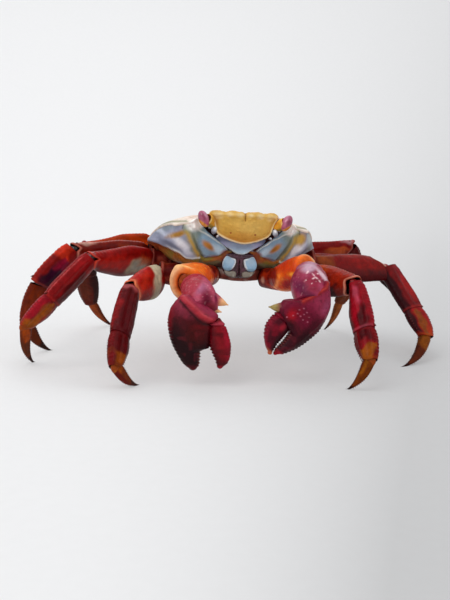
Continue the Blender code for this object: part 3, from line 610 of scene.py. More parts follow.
def back_relief(x, y, points):
    """Height of the back's lobes, furrows and slanting wrinkles, in millimetres."""
    ax = np.abs(x)
    height = 1.0 * hump(ax, 3.4, 2.4) * hump(y, -30.6, 2.2) + 0.9 * hump(ax, 9.6, 2.8) * hump(y, -30.2, 2.2)
    furrows = (((0, -33), (0, -25), (2.5, -20), (3.0, -12)), ((3.0, -12), (6, -5), (8.5, -3)),
               ((8.5, -3), (14, -8), (18.5, -15), (22.5, -21)), ((8.5, -3), (7.0, 4), (8.5, 12), (13, 22)),
               ((14, 27), (8, 24), (0, 25.5)))
    for route, depth in zip(furrows, (0.7, 0.45, 0.9, 0.8, 0.6)):
        height -= depth * line(ax, y, route, 1.5)
    height += 0.6 * spot(ax, y, (4.6, -10.0), (3.6, 8.0), 12)
    height += 0.5 * spot(ax, y, (4.0, 8.0), (3.4, 8.0))
    wander = 2.2 * mottle(points, 9.0, 3)
    slant = (y * 0.94 + ax * 0.34 + wander) / 2.3
    wave = np.abs((slant % 1.0) - 0.35) * 2.0
    side = step(ax, 13.0, 20.0) * step(y, -27.0, -20.0)
    height += chosen("wrinkle") * (1.0 - np.clip(wave, 0, 1)) * side
    short = step(mottle(points * (0.5, 2.2, 1.0), 1.7, 8), 0.5, 0.75)
    return height + 0.22 * short * (1.0 - side) * step(y, -32.0, -27.0)


def back_paint(x, y, z, points):
    """Red-brown back clouded with orange and cream, paling to cream at the front corners."""
    ax = np.abs(x)
    colours = bpy.context.scene.crab_colours
    big, mid, small = mottle(points, 9.0, 1), mottle(points, 3.2, 2), mottle(points, 1.1, 4)
    paint = ground(x.shape, "8E2616")
    coat(paint, "B8471C", step(big, 0.45, 0.75))
    coat(paint, "5A1814", step(mid, 0.58, 0.8) * 0.7)
    coat(paint, "D9A468", step(small + 0.5 * mid, 0.98, 1.12) * 0.75)
    pale = step(y + 0.25 * ax + 6.0 * (mid - 0.5), -4.0, -22.0) * step(ax, 6.0, 17.0)
    pale = np.maximum(pale, step(ax + 3.0 * big, 14.0, 24.0) * step(y, 14.0, 2.0))
    coat(paint, colours.shell_cream, pale * 0.94)
    coat(paint, "E0BCA6", pale * step(big, 0.45, 0.7) * 0.4)
    coat(paint, "B9A67A", pale * step(small, 0.55, 0.8) * 0.35)
    front = step(y, -25.0, -30.5) * step(ax, 15.0, 12.0)
    coat(paint, "C08A3C", front)
    for at, size in (((3.4, -30.8), (2.0, 1.5)), ((9.8, -30.4), (2.4, 1.5))):
        coat(paint, "EAD2A0", spot(ax, y, at, size, soft=0.5) * 0.8)
    tooth = spot(ax, y, (20.6, -30.8), (3.4, 3.0), soft=0.4)
    coat(paint, "FFFAF4", tooth)
    margin = line(ax, z, ((24.0, 58.3), (30.0, 57.8), (33.0, 56.8), (36.2, 54.6)), 0.5) * step(y, 6.0, -6.0)
    return coat(paint, colours.margin_olive, margin * 0.85)


def build_back():
    """The back: each loop is the margin drawn in towards the dome's top by a share.

    Its height above the margin is the dome's height times one less the share to a power."""
    margin = body_loops(680)[:, 0]
    centre = np.array(DOME_CENTRE)
    share = np.concatenate([np.linspace(0.006, 0.9, 96), np.linspace(0.908, 1.0, 18)])[:, None]
    flat = centre[:2] + (margin[None, :, :2] - centre[:2]) * share[..., None]
    z = margin[None, :, 2] + (centre[2] - margin[None, :, 2]) * (1.0 - share ** DOME_POWER)
    grid = np.concatenate([flat, z[..., None]], axis=-1)
    fade = step(share, 1.0, 0.955) * step(share, 0.0, 0.05)
    grid = swell(grid, back_relief(grid[..., 0], grid[..., 1], grid) * fade)
    way = margin[:, :2] - centre[:2]
    way /= np.linalg.norm(way, axis=1, keepdims=True)
    rim = []
    for out, down in ((0.22, 0.18), (0.3, 0.5), (0.18, 0.85), (-0.3, 1.1), (-1.6, 1.2), (-4.0, 1.2)):
        rim.append(np.concatenate([margin[:, :2] + way * out, margin[:, 2:] - down], axis=1))
    grid = np.concatenate([grid, rim])
    paint = back_paint(grid[..., 0], grid[..., 1], grid[..., 2], grid)
    return put("carapace_back", tilt(grid), paint, "carapace", "carapace_shell", "carapace")


# Lines of the face in the level body, as distance from the middle and height.
ORBIT_FLOOR = ((15.8, 57.0), (13.8, 55.2), (10.0, 52.2), (6.9, 49.6), (5.6, 47.6))
SUBORBITAL_RIM = ((21.0, 55.9), (18.2, 54.6), (14.0, 52.4), (9.6, 49.7), (6.3, 47.2))
SUBORBITAL_EDGE = ((6.3, 47.2), (8.4, 45.4), (11.0, 44.1), (15.0, 43.5), (17.4, 44.6))
RIDGE = ((24.0, 55.8), (22.8, 53.0), (21.4, 49.8), (19.8, 46.8), (17.6, 43.6))
FLANK_EDGE = ((17.3, 43.0), (20.4, 42.4), (23.0, 42.8), (26.2, 44.8), (30.2, 46.9), (34.4, 48.6),
              (37.4, 49.4), (52.0, 50.0), (80.0, 50.6))


def girth(points):
    """Distance from the middle in front, going on round the side to the back."""
    return np.abs(points[..., 0]) + np.maximum(points[..., 1] + 5.0, 0.0)


def flank_relief(points):
    """Height of the plates, ridges and grooves of the flank and face, in millimetres."""
    g, z = girth(points), points[..., 2]
    height = 0.55 * spot(g, z, (14.0, 48.8), (6.6, 2.6), 32, 0.6)
    height += 0.5 * line(g, z, SUBORBITAL_RIM, 0.55)
    height += 0.8 * line(g, z, RIDGE, 1.5)
    height -= 0.55 * line(g, z, np.array(RIDGE) - (1.5, 0.0), 0.5)
    height += 0.45 * line(g, z, FLANK_EDGE, 0.8)
    height -= 0.7 * line(g, z, np.array(FLANK_EDGE) - (0.0, 1.3), 0.6)
    height -= 0.6 * line(g, z, np.array(SUBORBITAL_EDGE) - (0.0, 0.7), 0.55)
    height += 0.7 * spot(g, z, (27.5, 50.6), (6.0, 3.6), 30, 0.8)
    fine = step(mottle(points, 0.9, 6), 0.55, 0.8)
    return height + 0.07 * fine


def orbit_depth(points):
    """How far the eye's hollow and the channel from it to the mouth go back, in millimetres."""
    distance, share = route_distance(np.abs(points[..., 0]), points[..., 2], ORBIT_FLOOR)
    radius = smooth(share, (0.0, 0.2, 0.5, 0.8, 1.0), (1.5, 1.6, 1.4, 1.2, 0.9))
    depth = smooth(share, (0.0, 0.25, 0.6, 1.0), (3.4, 2.8, 2.2, 1.4))
    bowl = np.sqrt(np.clip(1.0 - (distance / radius) ** 2, 0.0, 1.0))
    return depth * bowl * step(points[..., 1], -20.0, -26.0)


def flank_paint(points):
    """Pale lilac flank and blue-green plates under the eyes, with gold spots, olive lines, painted
    highlights and painted shade.
    """
    colours = bpy.context.scene.crab_colours
    drift = mottle(points, 3.0, 11) - 0.5
    g, z = girth(points) + 0.8 * drift, points[..., 2] + 0.7 * (mottle(points, 2.6, 12) - 0.5)
    left = points[..., 0] > 0
    big, small = mottle(points, 5.0, 14), mottle(points, 1.2, 15)
    paint = ground(g.shape, "878CA2")
    coat(paint, "A6A8BE", step(big, 0.4, 0.75) * 0.7)
    # outer flank
    coat(paint, "7C8890", spot(g, z, (31.0, 55.4), (4.4, 1.5), -30, 0.7) * 0.8)
    # A pinkish tint of the outer flank, which also stands for a painted pinkish highlight.
    coat(paint, "B694A4", spot(g, z, (43.0, 52.2), (5.4, 1.9), -20, 0.7) * 0.8)
    coat(paint, "A88474", step(g, 41.0, 46.0) * step(z, 48.0, 50.0) * 0.6)
    # Painted highlights on the flank, and a painted shade line under the largest one.
    coat(paint, "C4CADA", spot(g, z, (33.5, 53.4), (3.4, 0.8), 30, 0.8) * 0.8)
    coat(paint, "5E6478", spot(g, z, (29.2, 47.6), (4.4, 0.8), 30, 0.8) * 0.8)
    coat(paint, "F0F2FA", spot(g, z, (25.8, 48.8), (4.0, 1.5), 38, 0.8) * 0.95)
    coat(paint, "DADEEC", spot(g, z, (22.8, 45.4), (2.0, 1.0), 30, 0.8) * 0.8)
    gold = np.where(left, spot(g, z, (25.6, 52.8), (3.1, 2.5), 45, 0.6),
                    spot(g, z, (27.2, 52.5), (3.9, 1.2), -20, 0.6))
    coat(paint, colours.gold_spot, gold * 0.95)
    coat(paint, "9A6A22", gold * step(small, 0.5, 0.8) * 0.5)
    coat(paint, "D6AC52", spot(g, z, (25.8, 52.6), (2.2, 1.9), 45, 0.7) * left * 0.8)
    # On the left flank: painted highlights, then a patch of painted shade.
    coat(paint, "F6F4FA", spot(g, z, (23.9, 48.6), (2.6, 1.3), 45, 0.8) * left * 0.8)
    coat(paint, "BCC0BE", spot(g, z, (32.5, 53.6), (2.6, 3.0), 20, 0.7) * left * 0.9)
    coat(paint, "77796E", spot(g, z, (33.5, 49.8), (3.0, 1.4), 20, 0.8) * left * 0.8)
    coat(paint, "7E8F6A", spot(g, z, (23.4, 54.8), (2.2, 1.4), 30, 0.6) * 0.7)
    # plates under the eyes
    inner = step(g, 22.6, 20.4) * step(z - 43.0 - 0.28 * np.maximum(g - 15.0, 0), 0.2, 1.2)
    coat(paint, colours.plate_blue, inner)
    coat(paint, "7F8F86", inner * step(g + 0.6 * z, 47.5, 51.5) * 0.85)
    coat(paint, "B9CFDD", inner * spot(g, z, (10.2, 46.8), (3.0, 1.5), 35, 0.7) * 0.9)
    coat(paint, "5F6B6E", inner * spot(g, z, (18.8, 46.6), (1.2, 2.8), -25, 0.6) * 0.7)
    ochre = spot(g, z, (14.6, 48.5), (3.0, 1.25), 38, 0.55)
    coat(paint, "B97A2A", ochre * 0.95)
    coat(paint, "8E5A22", spot(g, z, (13.6, 47.7), (1.6, 0.8), 38, 0.6) * 0.6)
    coat(paint, "D9DED8", line(g, z, SUBORBITAL_RIM, 0.32) * 0.9)
    low = step(z, 55.4, 52.4)
    coat(paint, "8E8240", line(g, z, RIDGE, 1.7) * low * 0.6)
    coat(paint, colours.ridge_gold, line(g, z, np.array(RIDGE) + (0.5, 0.1), 0.75) * low * 0.85)
    coat(paint, "4E5434", line(g, z, np.array(RIDGE) - (1.4, 0.3), 0.55) * low * 0.6)
    # below the crease
    under = np.where(g < FLANK_EDGE[0][0], np.interp(g, *zip(*SUBORBITAL_EDGE)),
                     np.interp(g, *zip(*FLANK_EDGE)))
    below = step(under - z, 0.15, 0.65)
    # A pale line along the crease's rim: partly its colour, partly a painted highlight.
    coat(paint, "D9DAD8", line(g, z, FLANK_EDGE, 0.45) * step(g, 32.0, 28.0) * 0.8)
    coat(paint, "8B7A34", below)
    coat(paint, "A95F24", below * step(big, 0.42, 0.62) * 0.9)
    coat(paint, "9E3A1C", below * step(g, 26.0, 34.0) * 0.85)
    coat(paint, "6B6A50", below * step(under - z, 1.6, 2.8) * step(g, 26.0, 20.0) * 0.85)
    coat(paint, "3A1416", below * step(under - z, 3.0, 4.8) * 0.9)
    coat(paint, "A4542C", spot(g, z, (9.0, 43.2), (3.6, 1.0), 10, 0.6) * 0.9)
    mouth_corner = spot(g, z, (6.6, 44.8), (2.2, 2.0), 40, 0.5)
    coat(paint, "8A3D26", mouth_corner * 0.85)
    # hollows
    depth = orbit_depth(points)
    coat(paint, "B0602A", spot(g, z, (14.6, 57.4), (2.4, 1.2), 35, 0.7) * 0.8)
    # Painted shade: the eyes' hollows and the channels below them darker the deeper they go.
    coat(paint, "5A241C", step(depth, 0.35, 1.1))
    coat(paint, "2C0F10", step(depth, 1.2, 2.4))
    coat(paint, "C8BC7A", spot(g, z, (23.6, 57.6), (2.2, 1.2), -12, 0.6) * 0.8)
    shoulder = spot(g, z, (20.6, 57.0), (3.0, 2.3), -20, 0.5)
    coat(paint, "FFFBF6", shoulder)
    coat(paint, colours.margin_olive,
         line(g, z, ((24.0, 57.7), (30.0, 57.0), (33.0, 56.0), (36.2, 53.7), (47.0, 51.6)), 0.4))
    behind = step(points[..., 1], 4.0, 16.0)
    coat(paint, "9A4226", behind * step(z, 50.0, 52.5) * 0.8)
    return coat(paint, "3A3A30", line(g, z, ((25.0, 57.4), (25.6, 55.0)), 0.3) * 0.7)


def build_flank():
    """The flank from margin to crease to lower edge, with hollows for the eyes."""
    margin, crease, edge = np.moveaxis(body_loops(860), 1, 0)
    way = margin * (1.0, 1.0, 0.0)
    way /= np.linalg.norm(way, axis=1, keepdims=True)
    start = margin - way * 0.35 - (0.0, 0.0, 0.75)
    side = step(np.abs(margin[:, :1]), 22.0, 31.0) * step(margin[:, 1:2], -27.0, -20.0)
    fuller = 0.12 * (1.0 - side) * np.array((1.0, 1.0, 0.0))
    half_way = (start + crease) / 2.0 + (crease - edge) * fuller + way * 0.7 * side - (0.0, 0.0, 0.5) * side
    crease = crease - way * 2.6 * side + (0.0, 0.0, 0.3) * side
    inside = edge - way * 3.0
    guides = np.stack([start - way * 3.0, start, half_way, crease, edge, inside])
    levels = np.concatenate([np.linspace(0.0, 1.0, 5)[:-1], np.linspace(1.0, 3.0, 60)[:-1],
                             np.linspace(3.0, 4.0, 26)[:-1], np.linspace(4.0, 5.0, 5)])
    grid = smooth(levels, np.arange(6), guides.reshape(6, -1)).reshape(len(levels), -1, 3)
    fade = step(levels, 0.8, 1.1)[:, None] * step(levels, 4.6, 4.0)[:, None]
    relief = flank_relief(grid) * fade
    back = orbit_depth(grid) * fade
    grid = swell(grid, relief)
    grid[..., 1] += back
    return put("carapace_flank", tilt(grid), flank_paint(grid), "carapace", "carapace_shell")


def pillow(outline, centre, base, half, columns=320, front_rows=60, back_rows=16, plump=6.0):
    """A closed pad: the outline drawn in towards its centre by a share.

    Half its thickness is scaled by the root of one less the share to a power. The base gives how
    far back its middle lies at each place. Returns the grid, and for each point its share and -1 in
    front or 1 behind."""
    loop = closed_path(outline, np.arange(columns) / columns)
    turn = np.linspace(0.02, 1.0, front_rows) * np.pi / 2
    share = np.sin(np.concatenate([turn, turn[::-1][1::max(front_rows // back_rows, 1)]]))
    sign = np.concatenate([np.full(front_rows, -1.0), np.full(len(share) - front_rows, 1.0)])
    flat = np.array(centre) + (loop[None] - centre) * share[:, None, None]
    x, z = flat[..., 0], flat[..., 1]
    lift = np.sqrt(np.clip(1.0 - share ** plump, 0.0, 1.0))[:, None] * sign[:, None]
    y = base(x, z) + half * lift
    return np.stack([x, y, z], axis=-1), share[:, None] + 0.0 * x, sign[:, None] + 0.0 * x


FRONT_OUTLINE = ((0.0, 62.7), (1.0, 63.0), (5.2, 63.4), (8.3, 62.95), (11.8, 63.3), (14.1, 62.95),
                 (14.9, 61.9), (14.1, 60.3), (12.9, 58.2), (12.3, 56.2), (11.7, 54.3), (9.8, 52.7),
                 (5.4, 50.9), (0.0, 49.8))


def mirrored(half_outline):
    """A full outline from the points of its left half."""
    points = np.array(half_outline, float)
    inner = points[np.abs(points[:, 0]) > 1e-6]
    return np.concatenate([points, inner[::-1] * (-1.0, 1.0)])


def front_back(x, z):
    """How far forward the middle of the front plate lies, from its lean and its curve."""
    t = (62.9 - z) / 13.0
    return -34.9 + 1.4 * t + 2.2 * ((x + 0.5) / 14.4) ** 2 + 0.9 * step(z, 61.4, 63.2)


def build_front():
    """The folded-down golden front: a pad with four lobes above and a rim round the rest."""
    colours = bpy.context.scene.crab_colours
    outline = mirrored(FRONT_OUTLINE)
    grid, share, side = pillow(outline, (0.0, 57.2), front_back, 1.35, 420, 110, 22, 9.0)
    x, z = grid[..., 0], grid[..., 2]
    edge = edge_of(x, z, outline, 90)
    facing = side < 0
    below = step(z, 61.6, 60.2)
    relief = 0.34 * hump(edge, 0.45, 0.4) * below - 0.16 * hump(edge, 1.5, 0.6) * below
    relief -= 0.5 * line(x, z, ((0.1, 63.4), (0.0, 61.0), (0.1, 59.2)), 0.45)
    relief += 0.3 * (hump(x, -1.4, 1.0) + hump(x, 1.5, 1.0)) * step(z, 58.0, 62.0)
    for at in (-11.8, -5.4, 5.4, 11.8):
        relief += 0.55 * spot(x, z, (at, 62.1), (2.3, 1.1), 0, 0.7)
    relief -= 0.25 * spot(x, z, (0.0, 54.4), (7.0, 2.2), 0, 0.9)
    relief += 0.1 * step(mottle(grid, 0.8, 21), 0.5, 0.8)
    grid = swell(grid, relief * facing * step(share, 1.0, 0.985))
    cloud, small = mottle(grid, 4.0, 22), mottle(grid, 1.0, 23)
    paint = ground(x.shape, "C5933A")
    coat(paint, colours.front_gold, step(cloud, 0.3, 0.6))
    coat(paint, "DDB25C", spot(x, z, (3.0, 57.4), (7.5, 3.6), 0, 0.8) * 0.75)
    coat(paint, "B77528", step(z + 0.04 * x * x, 56.0, 53.6) * 0.55)
    coat(paint, "D6A64C", step(z, 59.8, 62.0) * 0.7)
    # Painted shade in the crease near the plate's right end.
    coat(paint, "A8702C", hump(x, -12.0, 1.0) * step(z, 55.0, 58.0) * 0.5)
    for at, size in (((-11.3, 62.0), (1.7, 0.9)), ((-6.6, 62.5), (1.3, 0.6)), ((-2.2, 62.5), (1.7, 0.55)),
                     ((2.2, 62.4), (1.2, 0.5)), ((6.4, 62.2), (1.5, 0.7)), ((10.8, 61.9), (1.3, 0.9)),
                     ((13.2, 62.2), (1.0, 0.5))):
        coat(paint, "EED6A0",
             spot(x, z, (at[0], at[1] - 0.7), (size[0], size[1] * 1.3), 0, 0.9) * (0.3 + 0.5 * small))
    coat(paint, "7A4A1A", line(x, z, ((0.1, 62.6), (0.0, 61.0), (0.1, 59.6)), 0.26) * 0.85)
    for at in ((-5.8, 54.2), (4.7, 53.9)):
        coat(paint, "8A3418", spot(x, z, at, (0.42, 0.34), 0, 0.6))
    coat(paint, "F2DFB4", step(edge, 0.85, 0.45) * step(z, 61.4, 60.4) * (0.75 + 0.25 * small))
    coat(paint, "9C5A22", hump(edge, 1.15, 0.28) * below * 0.5)
    coat(paint, "6E3A18", (side > 0) * 0.8)
    return put("front_plate", tilt(grid - (0.5, 0.0, 0.0)), paint, "carapace", "carapace_shell")


# ------------------------------------------------------------------------ skins round a path
def shell(centres, ups, sides, sizes, columns, power=2.2):
    """Rows round a path, each a superellipse with a height above, a height below and a half width.

    The ways up and sideways are one for each row or one for all. Returns the middles, the way from
    them to each point, and how high and how far sideways each point lies, from -1 to 1."""
    c, s = np.cos(turns(columns)), np.sin(turns(columns))
    c = np.sign(c) * np.abs(c) ** (2.0 / power)
    s = np.sign(s) * np.abs(s) ** (2.0 / power)
    above, below, half = (column[:, None] for column in sizes.T)
    ups, sides = (np.reshape(way, (-1, 1, 3)) for way in (ups, sides))
    across = ups * (np.where(s > 0, above, below) * s)[..., None] + sides * (half * c)[..., None]
    return centres[:, None], across, s + 0.0 * above, c + 0.0 * above


# Power of the superellipses in flat pieces: the claws' hands and the legs.
FLAT_POWER = 2.15
# Rows that close an end: how far out each lies, and its scale.
ROUNDED = ((0.15, 0.94), (0.45, 0.75), (0.72, 0.4), (0.8, 0.03))
# Rows of a lip round a mouth: how far out each lies, how much wider it is than the tube, or
# narrower below 0, and how deep it counts.
LIP = ((0.26, -0.1, 0.0), (0.36, -0.36, 0.3), (0.24, -0.62, 0.7), (-0.2, -0.8, 1.0),
       (-1.2, -0.95, 1.0), (-2.8, -1.1, 1.0))
# A broad lip, for the face of the arm that looks out round the wrist.
BROAD_LIP = ((0.35, -0.14, 0.0), (0.9, -0.5, 0.0), (1.3, -1.1, 0.02), (1.6, -2.0, 0.04), (1.7, -3.0, 0.06),
             (1.6, -3.6, 0.08), (1.2, -3.9, 0.6), (1.0, -4.0, 0.8), (1.4, -4.3, 0.3), (1.5, -4.9, 0.2),
             (1.3, -5.5, 0.4), (0.0, -5.9, 1.0), (-2.8, -6.1, 1.0))


def with_ends(t, sizes, length, mouth, lips=LIP):
    """Add the rows that close a piece: a rounded root, and a rounded tip or an open mouth.

    A mouth is a lip turned in with a cup behind it. Returns the places, the sizes, and how deep
    in the cup each row lies, from 0 to 1."""
    root = [(t[0] - out / length, sizes[0] * scale, 0.0) for out, scale in ROUNDED[::-1]]
    if mouth:
        last = [(t[-1] + out / length, np.maximum(sizes[-1] + inward * mouth, 0.3), deep)
                for out, inward, deep in lips]
        last += [(t[-1] - 3.0 / length, last[-1][1] * scale, 1.0) for scale in (0.5, 0.04)]
    else:
        last = [(t[-1] + out / length, sizes[-1] * scale, 0.0) for out, scale in ROUNDED]
    places = np.concatenate([[row[0] for row in root], t, [row[0] for row in last]])
    rows = np.concatenate([[row[1] for row in root], sizes, [row[1] for row in last]])
    deep = np.concatenate([np.zeros(len(root) + len(t)), [row[2] for row in last]])
    return places, rows, deep


# The cup that closes an open root: how far in each ring lies, its scale, and how deep it counts.
ROOT_CUP = ((3.2, 0.04, 1.0), (3.2, 0.5, 1.0), (3.0, 0.86, 0.6), (1.5, 0.9, 0.3), (0.2, 0.94, 0.15))


def open_root(places, sizes, deep, length):
    """Cut the rows off that lie before the joint, and turn the edge in to a cup."""
    ahead = places >= 0.0
    places, sizes, deep = places[ahead], sizes[ahead], deep[ahead]
    inward, scale, depth = np.array(ROOT_CUP).T
    return (np.concatenate([places[0] + inward / length, places]),
            np.concatenate([sizes[0] * scale[:, None], sizes]), np.concatenate([depth, deep]))


def crowded(first, last, rows):
    """Places from first to last that stand closer together near both ends."""
    u = np.linspace(0.0, 1.0, rows)
    return first + (last - first) * (u - 0.5 * np.sin(2.0 * np.pi * u) / (2.0 * np.pi))


def relieve(across, height):
    """Lengthen the ways from the middle by a height in millimetres."""
    reach = np.linalg.norm(across, axis=-1, keepdims=True) + 1e-6
    return across * (1.0 + np.asarray(height)[..., None] / reach)


def ripple(x, pitch):
    """A row of rounded bumps of height 1, one in each pitch."""
    return np.abs(np.sin(np.pi * x / pitch))


def band(x, low, high, soft):
    """1 between low and high, falling to 0 across the soft borders."""
    return step(x, low - soft, low + soft) * step(x, high + soft, high - soft)


def ball(centre, radii, lean, rows, columns):
    """An ellipsoid as rows of latitude, leaning sideways by an angle, in the level body."""
    polar = np.linspace(0.01, 0.99, rows)[:, None] * np.pi
    angle = turns(columns)
    x = radii[0] * np.sin(polar) * np.cos(angle)
    y = radii[1] * np.sin(polar) * np.sin(angle)
    z = radii[2] * np.cos(polar) + 0.0 * angle
    a = math.radians(lean)
    local = np.stack([x, y, z], axis=-1)
    turned = np.stack([x * math.cos(a) + z * math.sin(a), y, z * math.cos(a) - x * math.sin(a)], axis=-1)
    return turned + centre, local


# ------------------------------------------------------------------------ mouth, eyes and belly
# The mouth lies a little off the middle.
MOUTH_SHIFT = (0.7, 0.0, 0.0)
EPISTOME_OUTLINE = ((0.0, 53.0), (6.5, 53.2), (10.6, 52.4), (10.9, 51.2), (9.4, 49.7), (6.4, 48.0),
                    (4.3, 46.9), (2.9, 46.0), (1.4, 45.4), (0.0, 45.3))
MOUTH_OUTLINE = ((0.0, 46.6), (4.0, 46.6), (6.9, 45.4), (7.4, 43.0), (7.2, 39.0), (5.0, 36.0), (0.0, 35.2))
LEAF_OUTLINE = ((3.8, 43.9), (1.9, 43.2), (1.7, 42.2), (2.0, 40.8), (2.9, 39.2), (4.3, 38.2), (6.1, 38.3),
                (7.2, 39.6), (7.4, 41.4), (6.8, 43.2), (5.7, 44.5))
LOWER_LEAF_OUTLINE = ((1.2, 37.6), (2.6, 38.3), (4.4, 38.2), (6.2, 38.6), (6.6, 37.6), (5.4, 36.2),
                      (3.4, 35.5), (1.4, 35.7))


def build_mouth():
    """The pale crescent, the dark mouth behind it and two leaves on each side, all as pads."""
    colours = bpy.context.scene.crab_colours
    outline = mirrored(EPISTOME_OUTLINE)
    grid, share, side = pillow(outline, (0.0, 49.6), lambda x, z: -29.4 + 1.6 * (x / 9.8) ** 2, 1.9,
                               260, 50, 14, 8.0)
    x, z = grid[..., 0], grid[..., 2]
    edge = edge_of(x, z, outline)
    relief = 0.25 * hump(edge, 0.5, 0.4) - 0.3 * spot(x, z, (0.0, 48.4), (6.0, 1.6), 0, 0.8)
    grid = swell(grid, relief * (side < 0) * step(share, 1.0, 0.98))
    paint = ground(x.shape, "9DAEC8")
    coat(paint, "A3A2C4", step(np.abs(x), 3.0, 8.0) * 0.9)
    coat(paint, colours.mouth_blue, step(z, 48.4, 46.6))
    coat(paint, "CBD8DA", step(edge, 0.9, 0.4) * step(z, 49.0, 47.5) * 0.8)
    # Painted shade along the top, under the front plate.
    coat(paint, "5E6A86", step(z, 49.6, 51.2) * 0.7)
    coat(paint, "3A2024", step(edge, 0.32, 0.1) * 0.8)
    put("epistome", tilt(grid - MOUTH_SHIFT), paint, "carapace", "mouth_shell", "mouth_frame")

    grid, _, side = pillow(mirrored(MOUTH_OUTLINE), (0.0, 41.0), lambda x, z: -27.0 + 0.0 * x, 1.6,
                           180, 36, 10, 8.0)
    x, z = grid[..., 0], grid[..., 2]
    bars = 0.5 * line(x, z, ((-5.6, 44.8), (0.0, 45.2), (5.6, 44.8)), 0.6)
    bars += 0.35 * line(x, z, ((-4.8, 43.9), (0.0, 44.1), (4.8, 43.9)), 0.35)
    grid = swell(grid, (bars - 0.5 * hump(x, 0.0, 0.3) * step(z, 43.5, 42.0)) * (side < 0))
    paint = ground(x.shape, "3A1420")
    coat(paint, "5A2C3C", step(mottle(grid, 1.6, 31), 0.45, 0.8))
    coat(paint, "5E4A58", bars)
    coat(paint, "8A4024", step(np.abs(x), 5.6, 6.6) * step(z, 42.0, 44.0))
    coat(paint, "24090E", hump(x, 0.0, 0.35) * step(z, 43.8, 42.5))
    put("mouth_inside", tilt(grid - MOUTH_SHIFT), paint, "skin", "mouth_shell")

    for side_name, sign in (("right", -1.0), ("left", 1.0)):
        flip = (sign, 1.0)
        grid, share, side = pillow(np.multiply(LEAF_OUTLINE, flip), (sign * 4.7, 41.4),
                                   lambda x, z: -28.9 + 0.06 * (44.0 - z), 1.3, 220, 46, 12, 5.0)
        x, z = grid[..., 0] * sign, grid[..., 2]
        edge = edge_of(x, z, LEAF_OUTLINE)
        relief = 0.22 * hump(edge, 0.35, 0.3) - 0.25 * spot(x, z, (4.8, 41.6), (1.7, 2.0), 0, 0.8)
        grid = swell(grid, relief * (side < 0) * step(share, 1.0, 0.98))
        paint = ground(x.shape, "8FB2CC")
        coat(paint, colours.mouth_blue, spot(x, z, (4.4, 42.4), (2.0, 1.6), 0, 0.8) * 0.8)
        coat(paint, "E6EAEA", step(edge, 0.9, 0.4) * step(x, 4.4, 2.6) * 0.9)
        coat(paint, "D2DADC", step(edge, 0.5, 0.2) * step(z, 39.4, 41.0) * 0.7)
        coat(paint, "5A6A70", step(z, 39.8, 38.8) * 0.5)
        put(f"maxilliped_{side_name}_leaf", tilt(grid - MOUTH_SHIFT), paint, "carapace", "mouth_shell",
            f"maxilliped_{side_name}")

        grid, _, _ = pillow(np.multiply(LOWER_LEAF_OUTLINE, flip), (sign * 3.9, 37.0),
                            lambda x, z: -28.3 + 0.0 * z, 1.1, 160, 36, 10, 5.0)
        x, z = grid[..., 0] * sign, grid[..., 2]
        paint = ground(x.shape, "8C8478")
        coat(paint, "B9B8AC", step(mottle(grid, 1.3, 33), 0.5, 0.75) * 0.9)
        coat(paint, "4A3A34", step(edge_of(x, z, LOWER_LEAF_OUTLINE), 0.5, 0.15) * 0.8)
        put(f"maxilliped_{side_name}_base", tilt(grid - MOUTH_SHIFT), paint, "carapace", "mouth_shell")
    return {"FINISHED"}


# Beads at the roots of the feelers: place, radii and lean on the left side.
FEELER_BEADS = (((13.1, -33.4, 55.0), (1.15, 1.3, 1.7), -18.0),
                ((11.3, -32.4, 52.6), (0.75, 0.9, 0.6), 35.0),
                ((14.6, -32.6, 56.2), (0.9, 0.8, 0.5), 28.0))


